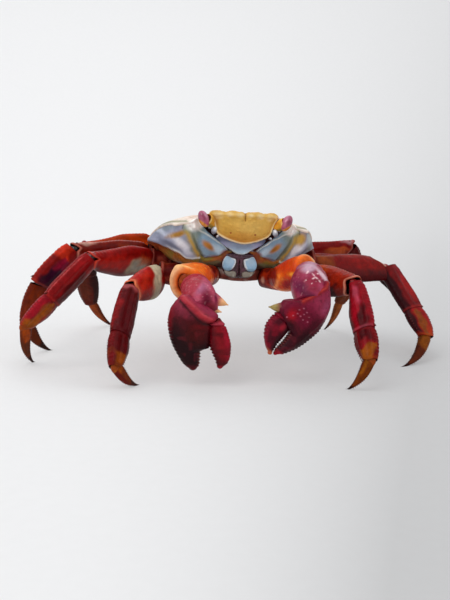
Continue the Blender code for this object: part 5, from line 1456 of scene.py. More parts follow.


# ------------------------------------------------------------------------ walking legs
# Looks of a segment: ground colour, colour of the rim, colour of the upper crest (mostly a painted
# highlight line along the top), and patches.
# A patch is a colour, a range along the segment, a range of height from -1 to 1, and a strength.
LEG_LOOKS = {
    "right_1": {
        "merus": ("C0281A", "E8906A", "C8604A", (
            ("E2D8BC", 0.21, 0.47, -2, 2, 1.0), ("9A1E14", 0.0, 0.16, -2, 2, 0.7),
            ("D8452A", 0.66, 0.86, -0.4, 0.9, 0.7), ("A02418", 0.6, 0.95, -2, -0.6, 0.6))),
        "carpus": ("6E121C", "5A1018", "A03030", (
            ("96181C", -0.2, 2, 0.95, 3, 0.9), ("B02830", 0.0, 0.5, 1.05, 2, 0.5),
            ("9A1A1A", -0.2, 2, -2, -0.75, 0.9), ("D87878", -0.02, 0.08, -0.9, 0.9, 0.7))),
        "propodus": ("701218", "7A2A18", "8A1A1C", (
            ("8E161C", -0.2, 2, 0.95, 3, 0.85), ("8A1418", -0.2, 0.8, -2, -0.75, 0.8),
            ("A85A10", 0.62, 2, -0.8, 0.85, 0.9))),
        "dactyl": ("8A4010", "8A4010", "6A2410", (
            ("A85A14", -0.2, 0.2, -0.6, 0.6, 0.8), ("7A1A14", -0.2, 0.6, 0.5, 2, 0.8),
            ("4A2A20", 0.7, 2, -2, 2, 0.9)))},
    "right_2": {
        "merus": ("A41A14", "D8604A", "B03A34", (
            ("BCAE96", 0.12, 0.45, -0.8, 0.3, 0.9), ("A4AAA6", 0.16, 0.38, -0.45, 0.15, 0.6),
            ("D06020", 0.0, 0.3, 0.0, 0.5, 0.7), ("801010", 0.0, 0.95, -2, -0.78, 0.8),
            ("C83428", 0.45, 0.95, -0.3, 0.6, 0.6))),
        "carpus": ("96141A", "C04038", "D87070", (
            ("B02428", -0.2, 0.7, 0.3, 0.9, 0.6), ("5E0C12", 0.25, 2, -0.8, 0.3, 0.8),
            ("B02420", 0.0, 0.35, -2, -0.4, 0.7))),
        "propodus": ("8E1418", "9A3A14", "C83848", (
            ("B01C34", -0.2, 0.85, 0.55, 1.6, 0.85), ("A86010", 0.02, 2, -0.25, 0.6, 0.92),
            ("5A0A14", -0.2, 0.8, -2, -0.7, 0.85), ("A82818", 0.3, 0.9, -0.7, -0.25, 0.7),
            ("A8620E", 0.75, 2, -1, 0.9, 0.8))),
        "dactyl": ("8A4010", "A04810", "7A2A10", (
            ("B85A10", -0.2, 0.3, -0.4, 0.7, 0.85), ("6A3A18", 0.3, 0.7, -2, 2, 0.7),
            ("3A201C", 0.75, 2, -2, 2, 0.9)))},
    "right_3": {
        "merus": ("8E2A18", "D08A7A", "D88A7A", (
            ("B05020", 0.0, 0.45, -0.2, 0.7, 0.8), ("7A1814", 0.5, 0.8, -0.6, 0.8, 0.7),
            # A painted highlight line along the top edge.
            ("E0B8A8", 0.74, 0.96, 0.93, 2, 0.85))),
        "carpus": ("A02420", "C06048", "E07050", (
            ("E0482A", -0.2, 0.35, 0.1, 2, 0.85), ("8A1848", 0.25, 0.8, -0.2, 0.5, 0.9),
            ("3E1434", 0.5, 2, -2, 0.62, 0.9), ("A82440", 0.25, 0.62, 0.1, 0.5, 0.7))),
        "propodus": ("803010", "803010", "A04820", (
            ("5A1A10", -0.2, 2, -2, -0.4, 0.8), ("9A4414", 0.1, 0.9, 0.1, 0.9, 0.6))),
        "dactyl": ("7A3A14", "7A3A14", "8A4A1C", (("3A2A24", 0.6, 2, -2, 2, 0.9),))},
    "right_4": {
        "merus": ("D85A10", "C87A4A", "C84A18", (
            ("A83A10", -0.2, 0.9, 0.6, 2, 0.6), ("E87818", 0.1, 0.8, -0.5, 0.3, 0.6))),
        "carpus": ("6E2814", "6E2814", "8A3A20", (("4A1814", -0.2, 2, -2, -0.3, 0.8),)),
        "propodus": ("6A2410", "7A3418", "8A3418", (
            ("4A1A14", -0.2, 2, -2, -0.3, 0.8), ("7A3A1C", 0.0, 0.8, 0.1, 0.7, 0.6))),
        "dactyl": ("A85A30", "A85A30", "8A3A1C", (("4A3028", 0.7, 2, -2, 2, 0.9),))},
    "left_1": {
        "merus": ("A8301A", "E0A088", "E0A080", (
            ("B83A1A", 0.5, 0.95, -0.4, 0.7, 0.8), ("D06018", 0.1, 0.5, 0.4, 0.95, 0.7),
            ("4E1828", 0.2, 0.75, -1.2, -0.35, 0.85), ("8A2418", 0.0, 0.6, -0.4, 0.3, 0.6))),
        "carpus": ("A01028", "D87080", "C83048", (
            # The first patch here is a painted pink highlight.
            ("D86078", 0.12, 0.5, -0.1, 0.45, 0.75), ("C02038", 0.3, 0.85, -0.45, 0.1, 0.8),
            ("5A0818", 0.55, 1.1, 0.0, 0.8, 0.85), ("6A0C1C", 0.1, 2, -2, -0.7, 0.7))),
        "propodus": ("8E0C1C", "A05818", "9A1420", (
            ("5A0818", 0.1, 0.5, -0.3, 0.7, 0.8), ("B01828", 0.35, 0.7, -0.3, 0.4, 0.7),
            ("A8620E", 0.6, 2, -0.75, 0.85, 0.92))),
        "dactyl": ("8A4A10", "A8620E", "7A2010", (
            ("A86A18", 0.0, 0.5, -0.3, 0.3, 0.7), ("7A2010", -0.2, 0.7, -2, -0.6, 0.8),
            ("2E1A18", 0.84, 2, -2, 2, 0.9)))},
    "left_2": {
        "merus": ("8A1A18", "EBC8B0", "D8806A", (
            ("A0201A", 0.4, 0.9, -0.4, 0.4, 0.7), ("A8602A", 0.0, 0.22, -0.6, 0.8, 0.7),
            ("7A1420", 0.5, 0.95, -2, -0.62, 0.8), ("F0D8C8", 0.5, 0.9, 0.93, 1.6, 0.85),
            ("B83A28", 0.35, 0.75, 0.5, 0.85, 0.5))),
        "carpus": ("8A181C", "C04038", "E08888", (
            ("A83A44", 0.0, 0.4, 0.3, 0.7, 0.6), ("4A1020", 0.15, 2, -2, -0.45, 0.85),
            ("B82828", 0.3, 0.9, 0.3, 0.9, 0.6))),
        "propodus": ("A82020", "B85A18", "C83A30", (
            ("9A540C", 0.15, 2, -0.35, 0.4, 0.92), ("4A1020", -0.2, 0.9, -2, -0.55, 0.85),
            ("B84A14", 0.7, 2, 0.3, 0.9, 0.7))),
        "dactyl": ("9A5A10", "9A5A10", "8A3A10", (
            ("6A2A10", 0.35, 2, -2, 2, 0.85), ("3A1414", 0.85, 2, -2, 2, 0.8)))},
    "left_4": {
        "merus": ("922020", "B06A60", "9A3028", (
            ("D07040", 0.6, 0.95, -0.7, 0.5, 0.85), ("6E1418", 0.0, 0.6, -2, -0.4, 0.6),
            ("D8B0B4", 0.84, 0.98, 0.94, 1.5, 0.85), ("9A2424", 0.1, 0.6, 0.0, 0.7, 0.5))),
        "carpus": ("701818", "A84A40", "A84040", (("501018", -0.2, 2, -2, -0.3, 0.7),)),
        "propodus": ("8A4A28", "8A4A28", "8A3020", (("6A1818", -0.2, 0.4, -2, 2, 0.7),)),
        "dactyl": ("B06A38", "B06A38", "7A4428", (("4A3E38", 0.75, 2, -2, 2, 0.9),))},
}
LEG_LOOKS["left_3"] = LEG_LOOKS["left_2"]
# Gaps that show the soft skin at the knees: depth of the notch, its height and its width.
KNEE_NOTCH = {"right_1": (2.2, 0.8, 0.4), "right_2": (2.6, 0.42, 0.36), "right_3": (2.4, 0.55, 0.5),
              "right_4": (1.2, 0.7, 0.4), "left_1": (3.0, 0.1, 0.5), "left_2": (1.2, 0.6, 0.35),
              "left_3": (1.6, 0.7, 0.4), "left_4": (1.3, 0.7, 0.4)}
SEGMENTS = ("merus", "carpus", "propodus", "dactyl")
MOUTHS = {"merus": 0.9, "carpus": 0.4, "propodus": 0.5, "dactyl": 0.0}
# How far the rim of a segment may reach over the next one.
HOODS = {"merus": 2.0, "carpus": 1.1, "propodus": 0.5, "dactyl": 0.5}
# Segments whose pale rim is wider, and whose colour borders lean.
RIM_WIDTHS = {("right_1", "merus"): 1.9}
BORDER_LEANS = {("right_1", "merus"): 0.15}
# Half the height and half the width of the skin in each joint.
JOINT_SKINS = ((3.2, 2.1), (1.9, 2.1), (3.3, 2.0), (2.7, 1.6))
SEGMENT_GRIDS = {"merus": (110, 88), "carpus": (92, 72), "propodus": (86, 72), "dactyl": (100, 56)}


def leg_points(name):
    """Joints of one leg from root to tip, and the way the broad face of each segment looks."""
    root, *bends, last_azimuth = LEG_POSE[name]
    lengths = LEG_LENGTHS[int(name[-1])]
    points = [place(root)]
    for (azimuth, elevation), length in zip(bends, lengths):
        points.append(points[-1] + heading(azimuth, elevation) * length)
    drop = math.degrees(math.asin(points[-1][2] / lengths[3]))
    points.append(points[-1] + heading(last_azimuth, -drop) * lengths[3])
    normal = unit(np.cross(heading(*bends[0]), heading(*bends[2])))
    if np.cross(normal, heading(*bends[0]))[2] < 0:
        normal = -normal
    lower = unit(normal + (0.0, math.copysign(LOWER_TURN[int(name[-1])], normal[1]), 0.0))
    return points, (normal, lower, lower, lower)


def arch(t):
    """Rise of a bowed segment: nothing at both ends and about 1 a little past its middle."""
    return 5.2 * t ** 1.5 * (1.0 - t)


def limb_relief(piece, t, s, f, length, skin):
    """Crests, wrinkles and grooves of a segment, in millimetres."""
    far = t * length
    body = band(t, 0.08, 0.93, 0.05)
    crest = hump(s, 1.0, 0.1)
    if piece == "merus":
        wander = 1.6 * mottle(skin, 4.5, 101)
        stria = np.clip(2.2 * ((far + wander + 0.9 * s) / 1.35 % 1.0), 0.0, 1.0)
        relief = 0.13 * stria * step(np.abs(s), 0.98, 0.8) * step(mottle(skin, 3.0, 102), 0.3, 0.55)
        relief += chosen("crest") * crest * (0.55 + 0.45 * ripple(far, 1.6))
        return (relief + 0.3 * hump(s, -1.0, 0.08) * (0.5 + 0.5 * ripple(far, 1.3))) * body
    if piece == "carpus":
        relief = 0.42 * hump(s, 0.72, 0.13) + 0.3 * hump(s, 0.05, 0.12) * step(t, 0.1, 0.3)
        relief = relief - 0.3 * hump(s, 0.4, 0.16) + 0.3 * crest * ripple(far, 1.7)
        return (relief + 0.1 * step(mottle(skin, 1.0, 103), 0.5, 0.8)) * body
    if piece == "propodus":
        relief = 0.32 * hump(s, 0.7, 0.12) - 0.28 * hump(s, 0.3, 0.18) + 0.25 * hump(s, -0.35, 0.14)
        relief += 0.34 * (crest + hump(s, -1.0, 0.1)) * ripple(far, 1.5)
        return (relief + 0.08 * step(mottle(skin, 1.0, 104), 0.5, 0.8)) * body
    ridges = 0.16 * np.abs(np.sin(3.0 * np.arctan2(s, f))) * step(t, 0.95, 0.6)
    return ridges * step(t, 0.02, 0.15)


def limb(start, end, normal, outline, stoutness, size, mouth, onward=None, bow=0.0, notch=None, piece="",
         hood=0.5, slope=None):
    """One segment: superellipses along the line between two joints, with a rim and a cup at each end.

    The rim is cut to the plane half way between this segment's way and the next one's."""
    length = np.linalg.norm(end - start)
    axis = (end - start) / length
    up = unit(np.cross(normal, axis))
    side = np.cross(axis, up)
    side = side * (1.0 if side[1] < 0 else -1.0)
    table = np.array(outline)
    rows, columns = size
    t = crowded(table[0, 0], table[-1, 0], rows)
    sizes = smooth(t, table[:, 0], table[:, 1:]) * stoutness
    if mouth:
        sizes = sizes + chosen("rim") * mouth * hump(t, 1.0 - 0.6 / length, 0.7 / length)[:, None]
    places, sizes, deep = open_root(*with_ends(t, sizes, length, mouth), length)
    t = places[:, None]
    centres = start + (end - start) * t + up * bow * length * arch(t)
    middle, across, s, f = shell(centres, up, side, sizes, columns, FLAT_POWER)
    t = t + 0.0 * s
    across = relieve(across, limb_relief(piece, t, s, f, length, middle + across) * (deep[:, None] < 0.1))
    grid = middle + across
    if onward is not None:
        facet = unit(axis + onward)
        cut = np.clip(-(across @ facet) / (axis @ facet), -6.0, hood) * 0.9
        if slope:
            cut = slope[0] + slope[1] * s
        if notch:
            reach = np.hypot(s - notch[1], f - math.sqrt(1.0 - notch[1] ** 2))
            cut = cut - notch[0] * hump(reach, 0.0, notch[2])
        grid = grid + axis * (cut * step(t, 1.0 - 9.0 / length, 1.0))[..., None]
    grid[..., 2] = np.maximum(grid[..., 2], 0.0)
    return grid, t, s, f, deep[:, None] + 0.0 * s, length


def paint_limb(look, grid, t, s, f, deep, length, piece, rim_width, lean):
    """The segment's patches with wavering borders, its clouding, its crest and its rim, with painted shade
    on its underside and at its open ends. The crest colour is mostly a painted highlight line.

    With a lean the borders across the segment lie nearer to the root at the top."""
    base, rim, crest, patches = look
    along = t + 1.6 / length * (mottle(grid, 2.8, 111) - 0.5) * 2.0
    high = np.where(f > 0, s, np.sign(s) * (2.0 - np.abs(s))) + 0.3 * (mottle(grid, 3.4, 112) - 0.5) * 2.0
    along = along + lean * s
    fine = mottle(grid, 0.9, 113)
    paint = ground(s.shape, base)
    for code, t0, t1, s0, s1, strength in patches:
        coat(paint, code, band(along, t0, t1, 0.05) * band(high, s0, s1, 0.16) * strength)
    paint = paint * (0.7 + 0.3 * mottle(grid, 2.0, 114))[..., None]
    # Painted shade: the underside darker.
    paint = paint * (1.0 - 0.4 * step(s, -0.2, -0.9))[..., None]
    # The crest colour, mostly a painted highlight line along the top.
    coat(paint, crest, hump(f, 0.0, 0.1) * step(s, 0.5, 0.9) * step(t, 0.04, 0.14) * (0.3 + 0.6 * fine))
    if piece != "dactyl":
        strength = {"merus": 0.95, "carpus": 0.4, "propodus": 0.5}[piece]
        coat(paint, rim, hump(t, 1.0 - 0.3 / length, rim_width / length) * (0.65 + 0.35 * fine) * strength)
    # Painted shade at the open root and inside the cups.
    coat(paint, "3A1010", step(t, 0.03, -0.05) * 0.8)
    return coat(paint, "1E0A0C", step(deep, 0.2, 0.8))


def segment_shape(name, piece):
    """The outline of one leg's segment and how stout it is above, below and across."""
    outline = np.array(OUTLINES[piece])
    stout = np.full(3, LEG_STOUTNESS[int(name[-1])])
    if piece == "merus" and name in MERUS_TOPS:
        outline[:, 1] = MERUS_TOPS[name]
    if piece == "merus":
        stout = stout * MERUS_SWELL.get(name, 1.0)
    if piece == "carpus" and name in ROOT_SHAPES:
        outline = np.concatenate([ROOT_SHAPES[name], outline[4:]])
    if piece == "propodus" and name in PROPODUS_START:
        outline[0, :2] = PROPODUS_START[name]
    if piece in ("carpus", "propodus"):
        stout = stout * LOWER_SWELL[name]
    if piece == "dactyl":
        stout = stout * np.sqrt(LOWER_SWELL[name])
    return outline, stout


def leg_hip(name, root):
    """The short piece that joins a leg to the body, with two rings of paler rim."""
    inward = unit((place((0.0, root[1] - BODY_AT[1], 0.0)) - root) * (1.0, 1.0, 0.0))
    inner = root + inward * HIP_REACH - (0.0, 0.0, HIP_DROP)
    flat = unit(np.cross(unit(root - inner), (0.0, 0.0, 1.0)))
    high, thick = HIP_SIZE
    outline = [(t, high * scale, high * scale, thick * scale) for t, scale in HIP_SCALES]
    grid, t, s, _, deep, _ = limb(inner, root, flat, outline, 1.0, (60, 64), 1.0)
    paint = ground(s.shape, "6A1A18")
    coat(paint, "9A4630", step(mottle(grid, 2.4, 121), 0.5, 0.75) * 0.7)
    coat(paint, "2E0E10", hump(t, 0.42, 0.05) * 0.9)
    coat(paint, "C87A6C", hump(t, 1.0, 0.03) * 0.5 + hump(t, 0.5, 0.03) * 0.3)
    # Painted shade inside the mouth's cup.
    coat(paint, "1E0A0C", step(deep, 0.2, 0.8))
    put(f"leg_{name}_hip", grid, deepen(paint), "leg", "belly_shell", f"leg_{name}_hip")


def joint_skins(name, points, normals, ways):
    """Wrinkled balls of soft skin in the joints, near black with painted glints, the last one as brown as
    the shell round it.
    """
    stoutness = LEG_STOUTNESS[int(name[-1])]
    for i, (high, wide) in enumerate(JOINT_SKINS):
        axis = ways[i]
        up = unit(np.cross(normals[i], axis))
        side = np.cross(axis, up)
        polar = np.linspace(0.02, 0.98, 26)[:, None] * np.pi
        angle = turns(40)
        wrinkle = 1.0 + 0.05 * ripple(polar * 3.0, 0.6) + 0.0 * angle
        out = np.sin(polar) * wrinkle
        grid = (points[i] + axis * (2.6 * np.cos(polar) + 0.0 * angle)[..., None]
                + up * (stoutness * high * out * np.sin(angle))[..., None]
                + side * (stoutness * wide * out * np.cos(angle))[..., None])
        # The brown last skin is mottled; the dark skins get painted glints.
        base, mottle_and_glint = ("8A3C10", "9A5A18") if i == 3 else ("140A0C", "8A94A0")
        paint = coat(ground(grid.shape[:2], base), mottle_and_glint, step(mottle(grid, 1.6, 131), 0.66, 0.85) * 0.5)
        if i == 1 and name != "right_3":
            coat(paint, "8E2020", step(grid[..., 2] - points[i][2], 0.9, 1.5))
        put(f"leg_{name}_skin_{i + 1}", grid, paint, "leg" if i == 3 else "skin", "leg_shell")


def build_leg(name):
    """One leg: its hip, its four segments and the skin of its joints."""
    points, normals = leg_points(name)
    looks = LEG_LOOKS[name]
    ways = [unit(b - a) for a, b in zip(points, points[1:])]
    leg_hip(name, points[0])
    for i, piece in enumerate(SEGMENTS):
        last = piece == "dactyl"
        onward = None if last else ways[i + 1]
        notch = KNEE_NOTCH[name] if piece == "merus" else None
        outline, stout = segment_shape(name, piece)
        grid, t, s, f, deep, length = limb(
            points[i], points[i + 1], normals[i], outline, stout, SEGMENT_GRIDS[piece],
            MOUTHS[piece], onward, DACTYL_BOW if last else 0.0, notch, piece, HOODS[piece],
            RIM_SLOPES.get(name) if piece == "merus" else None)
        paint = paint_limb(looks[piece], grid, t, s, f, deep, length, piece,
                           RIM_WIDTHS.get((name, piece), 0.6), BORDER_LEANS.get((name, piece), 0.0))
        put(f"leg_{name}_{piece}", grid, deepen(paint), "tip" if last else "leg",
            "leg_tip" if last else "leg_shell", f"leg_{name}_{piece}")
    joint_skins(name, points, normals, ways)
    return {"FINISHED"}


def bristle_places(start, end, normal, outline, stoutness, bow, rows_of, first, last, count, lean, reach):
    """Bases and tips of rows of spikes standing on a segment and leaning towards its end."""
    length = np.linalg.norm(end - start)
    axis = (end - start) / length
    up = unit(np.cross(normal, axis))
    side = np.cross(axis, up)
    t = np.tile(np.linspace(first, last, count), len(rows_of))
    angle = np.repeat(np.radians(rows_of), count)
    sizes = smooth(t, np.array(outline)[:, 0], np.array(outline)[:, 1:]) * stoutness
    s, c = np.sin(angle), np.cos(angle)
    power = 2.0 / FLAT_POWER
    height = np.where(s > 0, sizes[:, 0], sizes[:, 1]) * np.sign(s) * np.abs(s) ** power
    wide = sizes[:, 2] * np.sign(c) * np.abs(c) ** power
    across = up * height[:, None] + side * wide[:, None]
    centre = start + (end - start) * t[:, None] + up * (bow * length * arch(t))[:, None]
    away = across / np.linalg.norm(across, axis=1, keepdims=True)
    base = centre + across - away * 0.15
    tip = base + (away + axis * lean) * (reach * (1.0 - 0.45 * t))[:, None]
    return base, tip


def build_bristles():
    """Short dark spines along the edges of every walking leg, and a larger one at each joint."""
    for name in LEG_POSE:
        points, normals = leg_points(name)
        bases, tips, radii = [], [], []
        for piece, rows_of, first, last, count, lean, reach, radius in (
                ("dactyl", (90, 145, 215, 270, 325, 35), 0.14, 0.86, 12, 1.3, 0.75, 0.17),
                ("propodus", (90, 270, 60, 300), 0.25, 0.96, 9, 1.4, 0.9, 0.17),
                ("carpus", (90,), 0.2, 0.96, 6, 1.6, 0.8, 0.2),
                ("merus", (90,), 0.3, 0.97, 9, 1.8, 0.6, 0.17),
                ("merus", (88,), 0.97, 0.97, 1, 1.1, 1.0, 0.62),
                ("carpus", (88,), 0.97, 0.97, 1, 1.1, 2.0, 0.62)):
            i = SEGMENTS.index(piece)
            if piece == "merus" and name in RIM_SLOPES:
                first, last = min(first, SLOPED_END), min(last, SLOPED_END)
            base, tip = bristle_places(points[i], points[i + 1], normals[i], *segment_shape(name, piece),
                                       DACTYL_BOW if piece == "dactyl" else 0.0,
                                       rows_of, first, last, count, lean, reach)
            bases.append(base)
            tips.append(tip)
            radii.append(np.full(len(base), radius))
        base, tip = np.concatenate(bases), np.concatenate(tips)
        above = (base[:, 2] > 0.6) & (tip[:, 2] > 0.1)
        item = spines(f"leg_{name}_bristles", base[above], tip[above], np.concatenate(radii)[above],
                      ("7A1C14", "3A1410"), cuticle("bristle"))
        keep(item, "leg_tip")
    return {"FINISHED"}


# ------------------------------------------------------------------------ stage
LAMP_TARGET = (0.0, 0.0, 0.03)


def area_lamp(name, at, size, power, colour):
    """A round lamp that faces the crab."""
    lamp = bpy.data.lights.new(name, "AREA")
    lamp.shape = "DISK"
    lamp.size = size
    lamp.energy = power
    lamp.color = colour
    item = bpy.data.objects.new(name, lamp)
    item.location = at
    item.rotation_mode = "QUATERNION"
    item.rotation_quaternion = (Vector(LAMP_TARGET) - Vector(at)).to_track_quat("-Z", "Y")
    bpy.context.scene.collection.objects.link(item)
    return item


def build_floor(settings):
    """A pale bowl: a flat floor that curves up to a wall, from a profile turned round an axis."""
    run = np.linspace(0.0, 1.0, 90)[1:]
    radius = 1000.0 * (settings.floor_flat * 2.2) * run
    flat = settings.floor_flat * 1000.0
    rise = np.maximum(radius - flat, 0.0) / (1.2 * flat)
    height = 900.0 * rise ** 2.2
    angle = turns(128)
    grid = np.stack([radius[:, None] * np.cos(angle), radius[:, None] * np.sin(angle),
                     height[:, None] + 0.0 * angle], axis=-1)
    rows, columns = grid.shape[:2]
    index = np.arange(rows * columns).reshape(rows, columns)
    ahead = np.roll(index, -1, axis=1)
    quads = np.stack([index[:-1], ahead[:-1], ahead[1:], index[1:]], axis=-1)[:, :, ::-1].reshape(-1, 4)
    fan = np.stack([np.full(columns, rows * columns), index[0], ahead[0]], axis=-1)
    points = np.concatenate([grid.reshape(-1, 3), [(0.0, 0.0, 0.0)]])
    return build_mesh("studio_floor", points, quads.tolist() + fan.tolist(), np.ones((len(points), 3)),
                      floor_paper())


def build_camera(settings):
    """The camera, level with the claws and a little to the crab's right."""
    data = bpy.data.cameras.new("camera")
    data.lens = settings.lens
    data.sensor_width = 36.0
    data.sensor_fit = "AUTO"
    data.clip_start = 0.01
    item = bpy.data.objects.new("camera", data)
    pitch, yaw, roll = settings.pitch, settings.yaw, settings.camera_roll
    ahead = Vector((math.sin(yaw) * math.cos(pitch), math.cos(yaw) * math.cos(pitch), -math.sin(pitch)))
    level = Vector((math.cos(yaw), -math.sin(yaw), 0.0))
    above = level.cross(ahead)
    across = level * math.cos(roll) + above * math.sin(roll)
    upward = above * math.cos(roll) - level * math.sin(roll)
    turned = Matrix((across, upward, -ahead)).transposed().to_4x4()
    item.matrix_world = Matrix.Translation(settings.camera_at) @ turned
    bpy.context.scene.collection.objects.link(item)
    bpy.context.scene.camera = item
    return item


def build_stage():
    """The floor, three lamps, the light from all round and the camera."""
    settings = bpy.context.scene.crab_stage
    scene = bpy.context.scene
    floor = build_floor(settings)
    lamps = [area_lamp(*row) for row in (
        ("key_lamp", (-0.62, -0.5, 0.95), settings.key_size, settings.key_power, (1.0, 0.985, 0.96)),
        ("fill_lamp", (0.8, -0.5, 0.7), settings.fill_size, settings.fill_power, (0.95, 0.975, 1.0)),
        ("back_lamp", (0.0, 0.8, 0.9), settings.fill_size, settings.back_power, (1.0, 1.0, 1.0)))]
    world = bpy.data.worlds.new("studio_air")
    world.use_nodes = True
    world.node_tree.nodes["Background"].inputs["Color"].default_value = (*settings.air, 1.0)
    world.node_tree.nodes["Background"].inputs["Strength"].default_value = settings.air_strength
    scene.world = world
    scene.view_settings.view_transform = "Standard"
    build_camera(settings)
    return {"FINISHED"}


# ------------------------------------------------------------------------ the add-on
def shade(name, about, code):
    """A colour property, from an sRGB hex value."""
    return bpy.props.FloatVectorProperty(name=name, description=about, subtype="COLOR", size=3, min=0.0,
                                         max=1.0, default=tuple(linear(code)))


def number(name, about, default, **limits):
    """A property that holds one number."""
    return bpy.props.FloatProperty(name=name, description=about, default=default, **limits)


def length(name, about, millimetres):
    """A height property, from millimetres."""
    return number(name, about, millimetres * MM, min=0.0, soft_max=2.0 * MM, precision=5, unit="LENGTH")


class CrabSizes(bpy.types.PropertyGroup):
    """Heights of the relief on the shells."""
    wrinkle: length("Wrinkle height", "Height of the back's slanting wrinkles", 0.42)
    tooth: length("Claw tooth height", "Height of a tooth on the gape of the right claw", 0.55)
    granule: length("Granule height", "Height of a granule on the left palm", 0.32)
    crest: length("Leg crest height", "Height of the beaded upper crest of a leg's first long segment", 0.4)
    rim: length("Rim height", "How far the rim of a leg segment stands out", 0.3)


class CrabColours(bpy.types.PropertyGroup):
    """The main colours of the crab."""
    shell_cream: shade("Shell cream", "Pale front corners of the back", "F4E6D8")
    margin_olive: shade("Margin olive", "Line along the margin of the back", "7C7A52")
    gold_spot: shade("Flank gold", "Golden spot on each flank", "B8862E")
    plate_blue: shade("Plate blue", "Plates under the eyes", "86A4BA")
    ridge_gold: shade("Ridge gold", "Ridge that bounds the plates", "BC9640")
    front_gold: shade("Front gold", "Folded-down front between the eyes", "CDA048")
    mouth_blue: shade("Mouth blue", "Crescent and leaves of the mouth", "AFC8DA")
    eye_pink: shade("Eye pink", "Surface of the eyes", "A84A68")
    stalk_yellow: shade("Stalk yellow", "Stalks of the eyes", "D8962E")
    arm_orange: shade("Arm orange", "Arms of the claws", "E2681C")
    wrist_rose: shade("Wrist rose", "Wrist of the right claw", "B64A62")
    palm_rose: shade("Palm rose", "Upper part of the left palm", "9C3C58")
    claw_dark: shade("Claw dark", "Darkest part of the claws", "2C0A12")


class CrabStage(bpy.types.PropertyGroup):
    """Floor, lamps and camera."""
    floor_flat: number("Flat floor", "Radius of the flat part of the floor", 0.7, min=0.2, unit="LENGTH")
    paper: shade("Paper", "Colour of the floor", "EEEEEE")
    # The point that the paper's painted shade fans out from.
    painted_shade_from: bpy.props.FloatVectorProperty(name="Shade from", default=(-0.08, -0.4), size=2, unit="LENGTH",
                                          description="Point that the paper's shade fans out from")
    # The paper's glow is painted light: emission that lightens the shadows cast on the paper.
    painted_glow: number("Glow", "Share of the paper's brightness that comes from below", 0.38, min=0.0, max=0.9)
    air: shade("Air", "Colour of the light from all round", "F4F6FA")
    air_strength: number("Air strength", "Strength of the light from all round", 0.9, min=0.0)
    key_size: number("Key size", "Width of the key lamp", 0.9, min=0.01, unit="LENGTH")
    key_power: number("Key power", "Power of the key lamp", 4.0, min=0.0, unit="POWER")
    fill_size: number("Fill size", "Width of the fill and back lamps", 0.7, min=0.01, unit="LENGTH")
    fill_power: number("Fill power", "Power of the fill lamp", 1.0, min=0.0, unit="POWER")
    back_power: number("Back power", "Power of the lamp behind", 1.8, min=0.0, unit="POWER")
    lens: number("Lens", "Focal length of the camera", 55.44, min=10.0, unit="CAMERA")
    camera_at: bpy.props.FloatVectorProperty(name="Camera place", description="Where the camera stands",
                                             default=(-0.0759, -0.4026, 0.0966), size=3,
                                             subtype="TRANSLATION", unit="LENGTH")
    pitch: number("Camera pitch", "How far the camera looks down", math.radians(9.884), subtype="ANGLE")
    yaw: number("Camera yaw", "How far the camera looks to its right", math.radians(9.817), subtype="ANGLE")
    camera_roll: number("Camera roll", "How far the camera leans", math.radians(2.5), subtype="ANGLE")


class CRAB_OT_carapace(bpy.types.Operator):
    """Build the back, the flanks and the folded-down front"""
    bl_idname = "crab.carapace"
    bl_label = "Carapace"

    def execute(self, context):
        build_back()
        build_flank()
        build_front()
        return {"FINISHED"}


class CRAB_OT_mouth(bpy.types.Operator):
    """Build the crescent, the mouth and its leaves"""
    bl_idname = "crab.mouth"
    bl_label = "Mouth"

    def execute(self, context):
        return build_mouth()


class CRAB_OT_eyes(bpy.types.Operator):
    """Build the eyes, their stalks and the beads of the feelers"""
    bl_idname = "crab.eyes"
    bl_label = "Eyes and feelers"

    def execute(self, context):
        return build_eyes()


class CRAB_OT_belly(bpy.types.Operator):
    """Build the sternum and the folded tail"""
    bl_idname = "crab.belly"
    bl_label = "Belly"

    def execute(self, context):
        return build_belly()


class CRAB_OT_claws(bpy.types.Operator):
    """Build both claws"""
    bl_idname = "crab.claws"
    bl_label = "Claws"

    def execute(self, context):
        for side_name in CLAWS:
            build_claw(side_name)
        return {"FINISHED"}


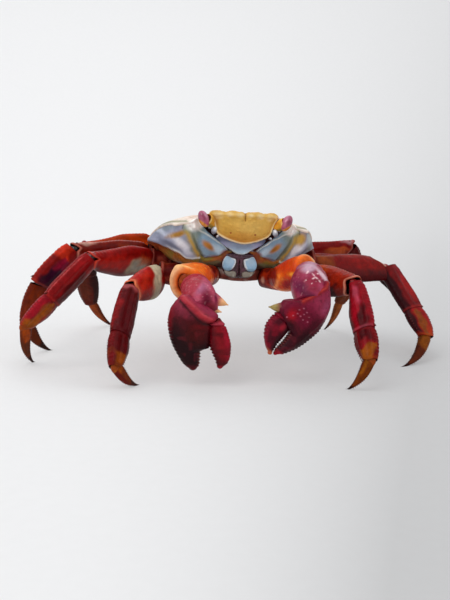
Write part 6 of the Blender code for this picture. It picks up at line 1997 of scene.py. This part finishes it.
class CRAB_OT_legs(bpy.types.Operator):
    """Build the eight walking legs"""
    bl_idname = "crab.legs"
    bl_label = "Walking legs"

    def execute(self, context):
        for name in LEG_POSE:
            build_leg(name)
        return {"FINISHED"}


class CRAB_OT_bristles(bpy.types.Operator):
    """Build the bristles of the walking legs"""
    bl_idname = "crab.bristles"
    bl_label = "Bristles"

    def execute(self, context):
        return build_bristles()


class CRAB_OT_stage(bpy.types.Operator):
    """Build the floor, the lamps and the camera"""
    bl_idname = "crab.stage"
    bl_label = "Stage"

    def execute(self, context):
        return build_stage()


OPERATORS = (CRAB_OT_carapace, CRAB_OT_mouth, CRAB_OT_eyes, CRAB_OT_belly, CRAB_OT_claws, CRAB_OT_legs,
             CRAB_OT_bristles, CRAB_OT_stage)


class CRAB_PT_panel(bpy.types.Panel):
    """Lists the operators that build the crab"""
    bl_idname = "CRAB_PT_panel"
    bl_label = "Shore crab"
    bl_space_type = "VIEW_3D"
    bl_region_type = "UI"
    bl_category = "Crab"

    def draw(self, context):
        for operator in OPERATORS:
            self.layout.operator(operator.bl_idname)


CLASSES = (CrabSizes, CrabColours, CrabStage, *OPERATORS, CRAB_PT_panel)


def register():
    """Register the classes and hang the properties on the scene."""
    for item in CLASSES:
        bpy.utils.register_class(item)
    bpy.types.Scene.crab_sizes = bpy.props.PointerProperty(type=CrabSizes)
    bpy.types.Scene.crab_colours = bpy.props.PointerProperty(type=CrabColours)
    bpy.types.Scene.crab_stage = bpy.props.PointerProperty(type=CrabStage)


def unregister():
    """Take the properties off the scene and unregister the classes."""
    del bpy.types.Scene.crab_stage
    del bpy.types.Scene.crab_colours
    del bpy.types.Scene.crab_sizes
    for item in reversed(CLASSES):
        bpy.utils.unregister_class(item)


def main():
    """Build the whole crab and its stage."""
    register()
    bpy.ops.crab.carapace()
    bpy.ops.crab.mouth()
    bpy.ops.crab.eyes()
    bpy.ops.crab.belly()
    bpy.ops.crab.claws()
    bpy.ops.crab.legs()
    bpy.ops.crab.bristles()
    bpy.ops.crab.stage()


if __name__ == "__main__":
    main()
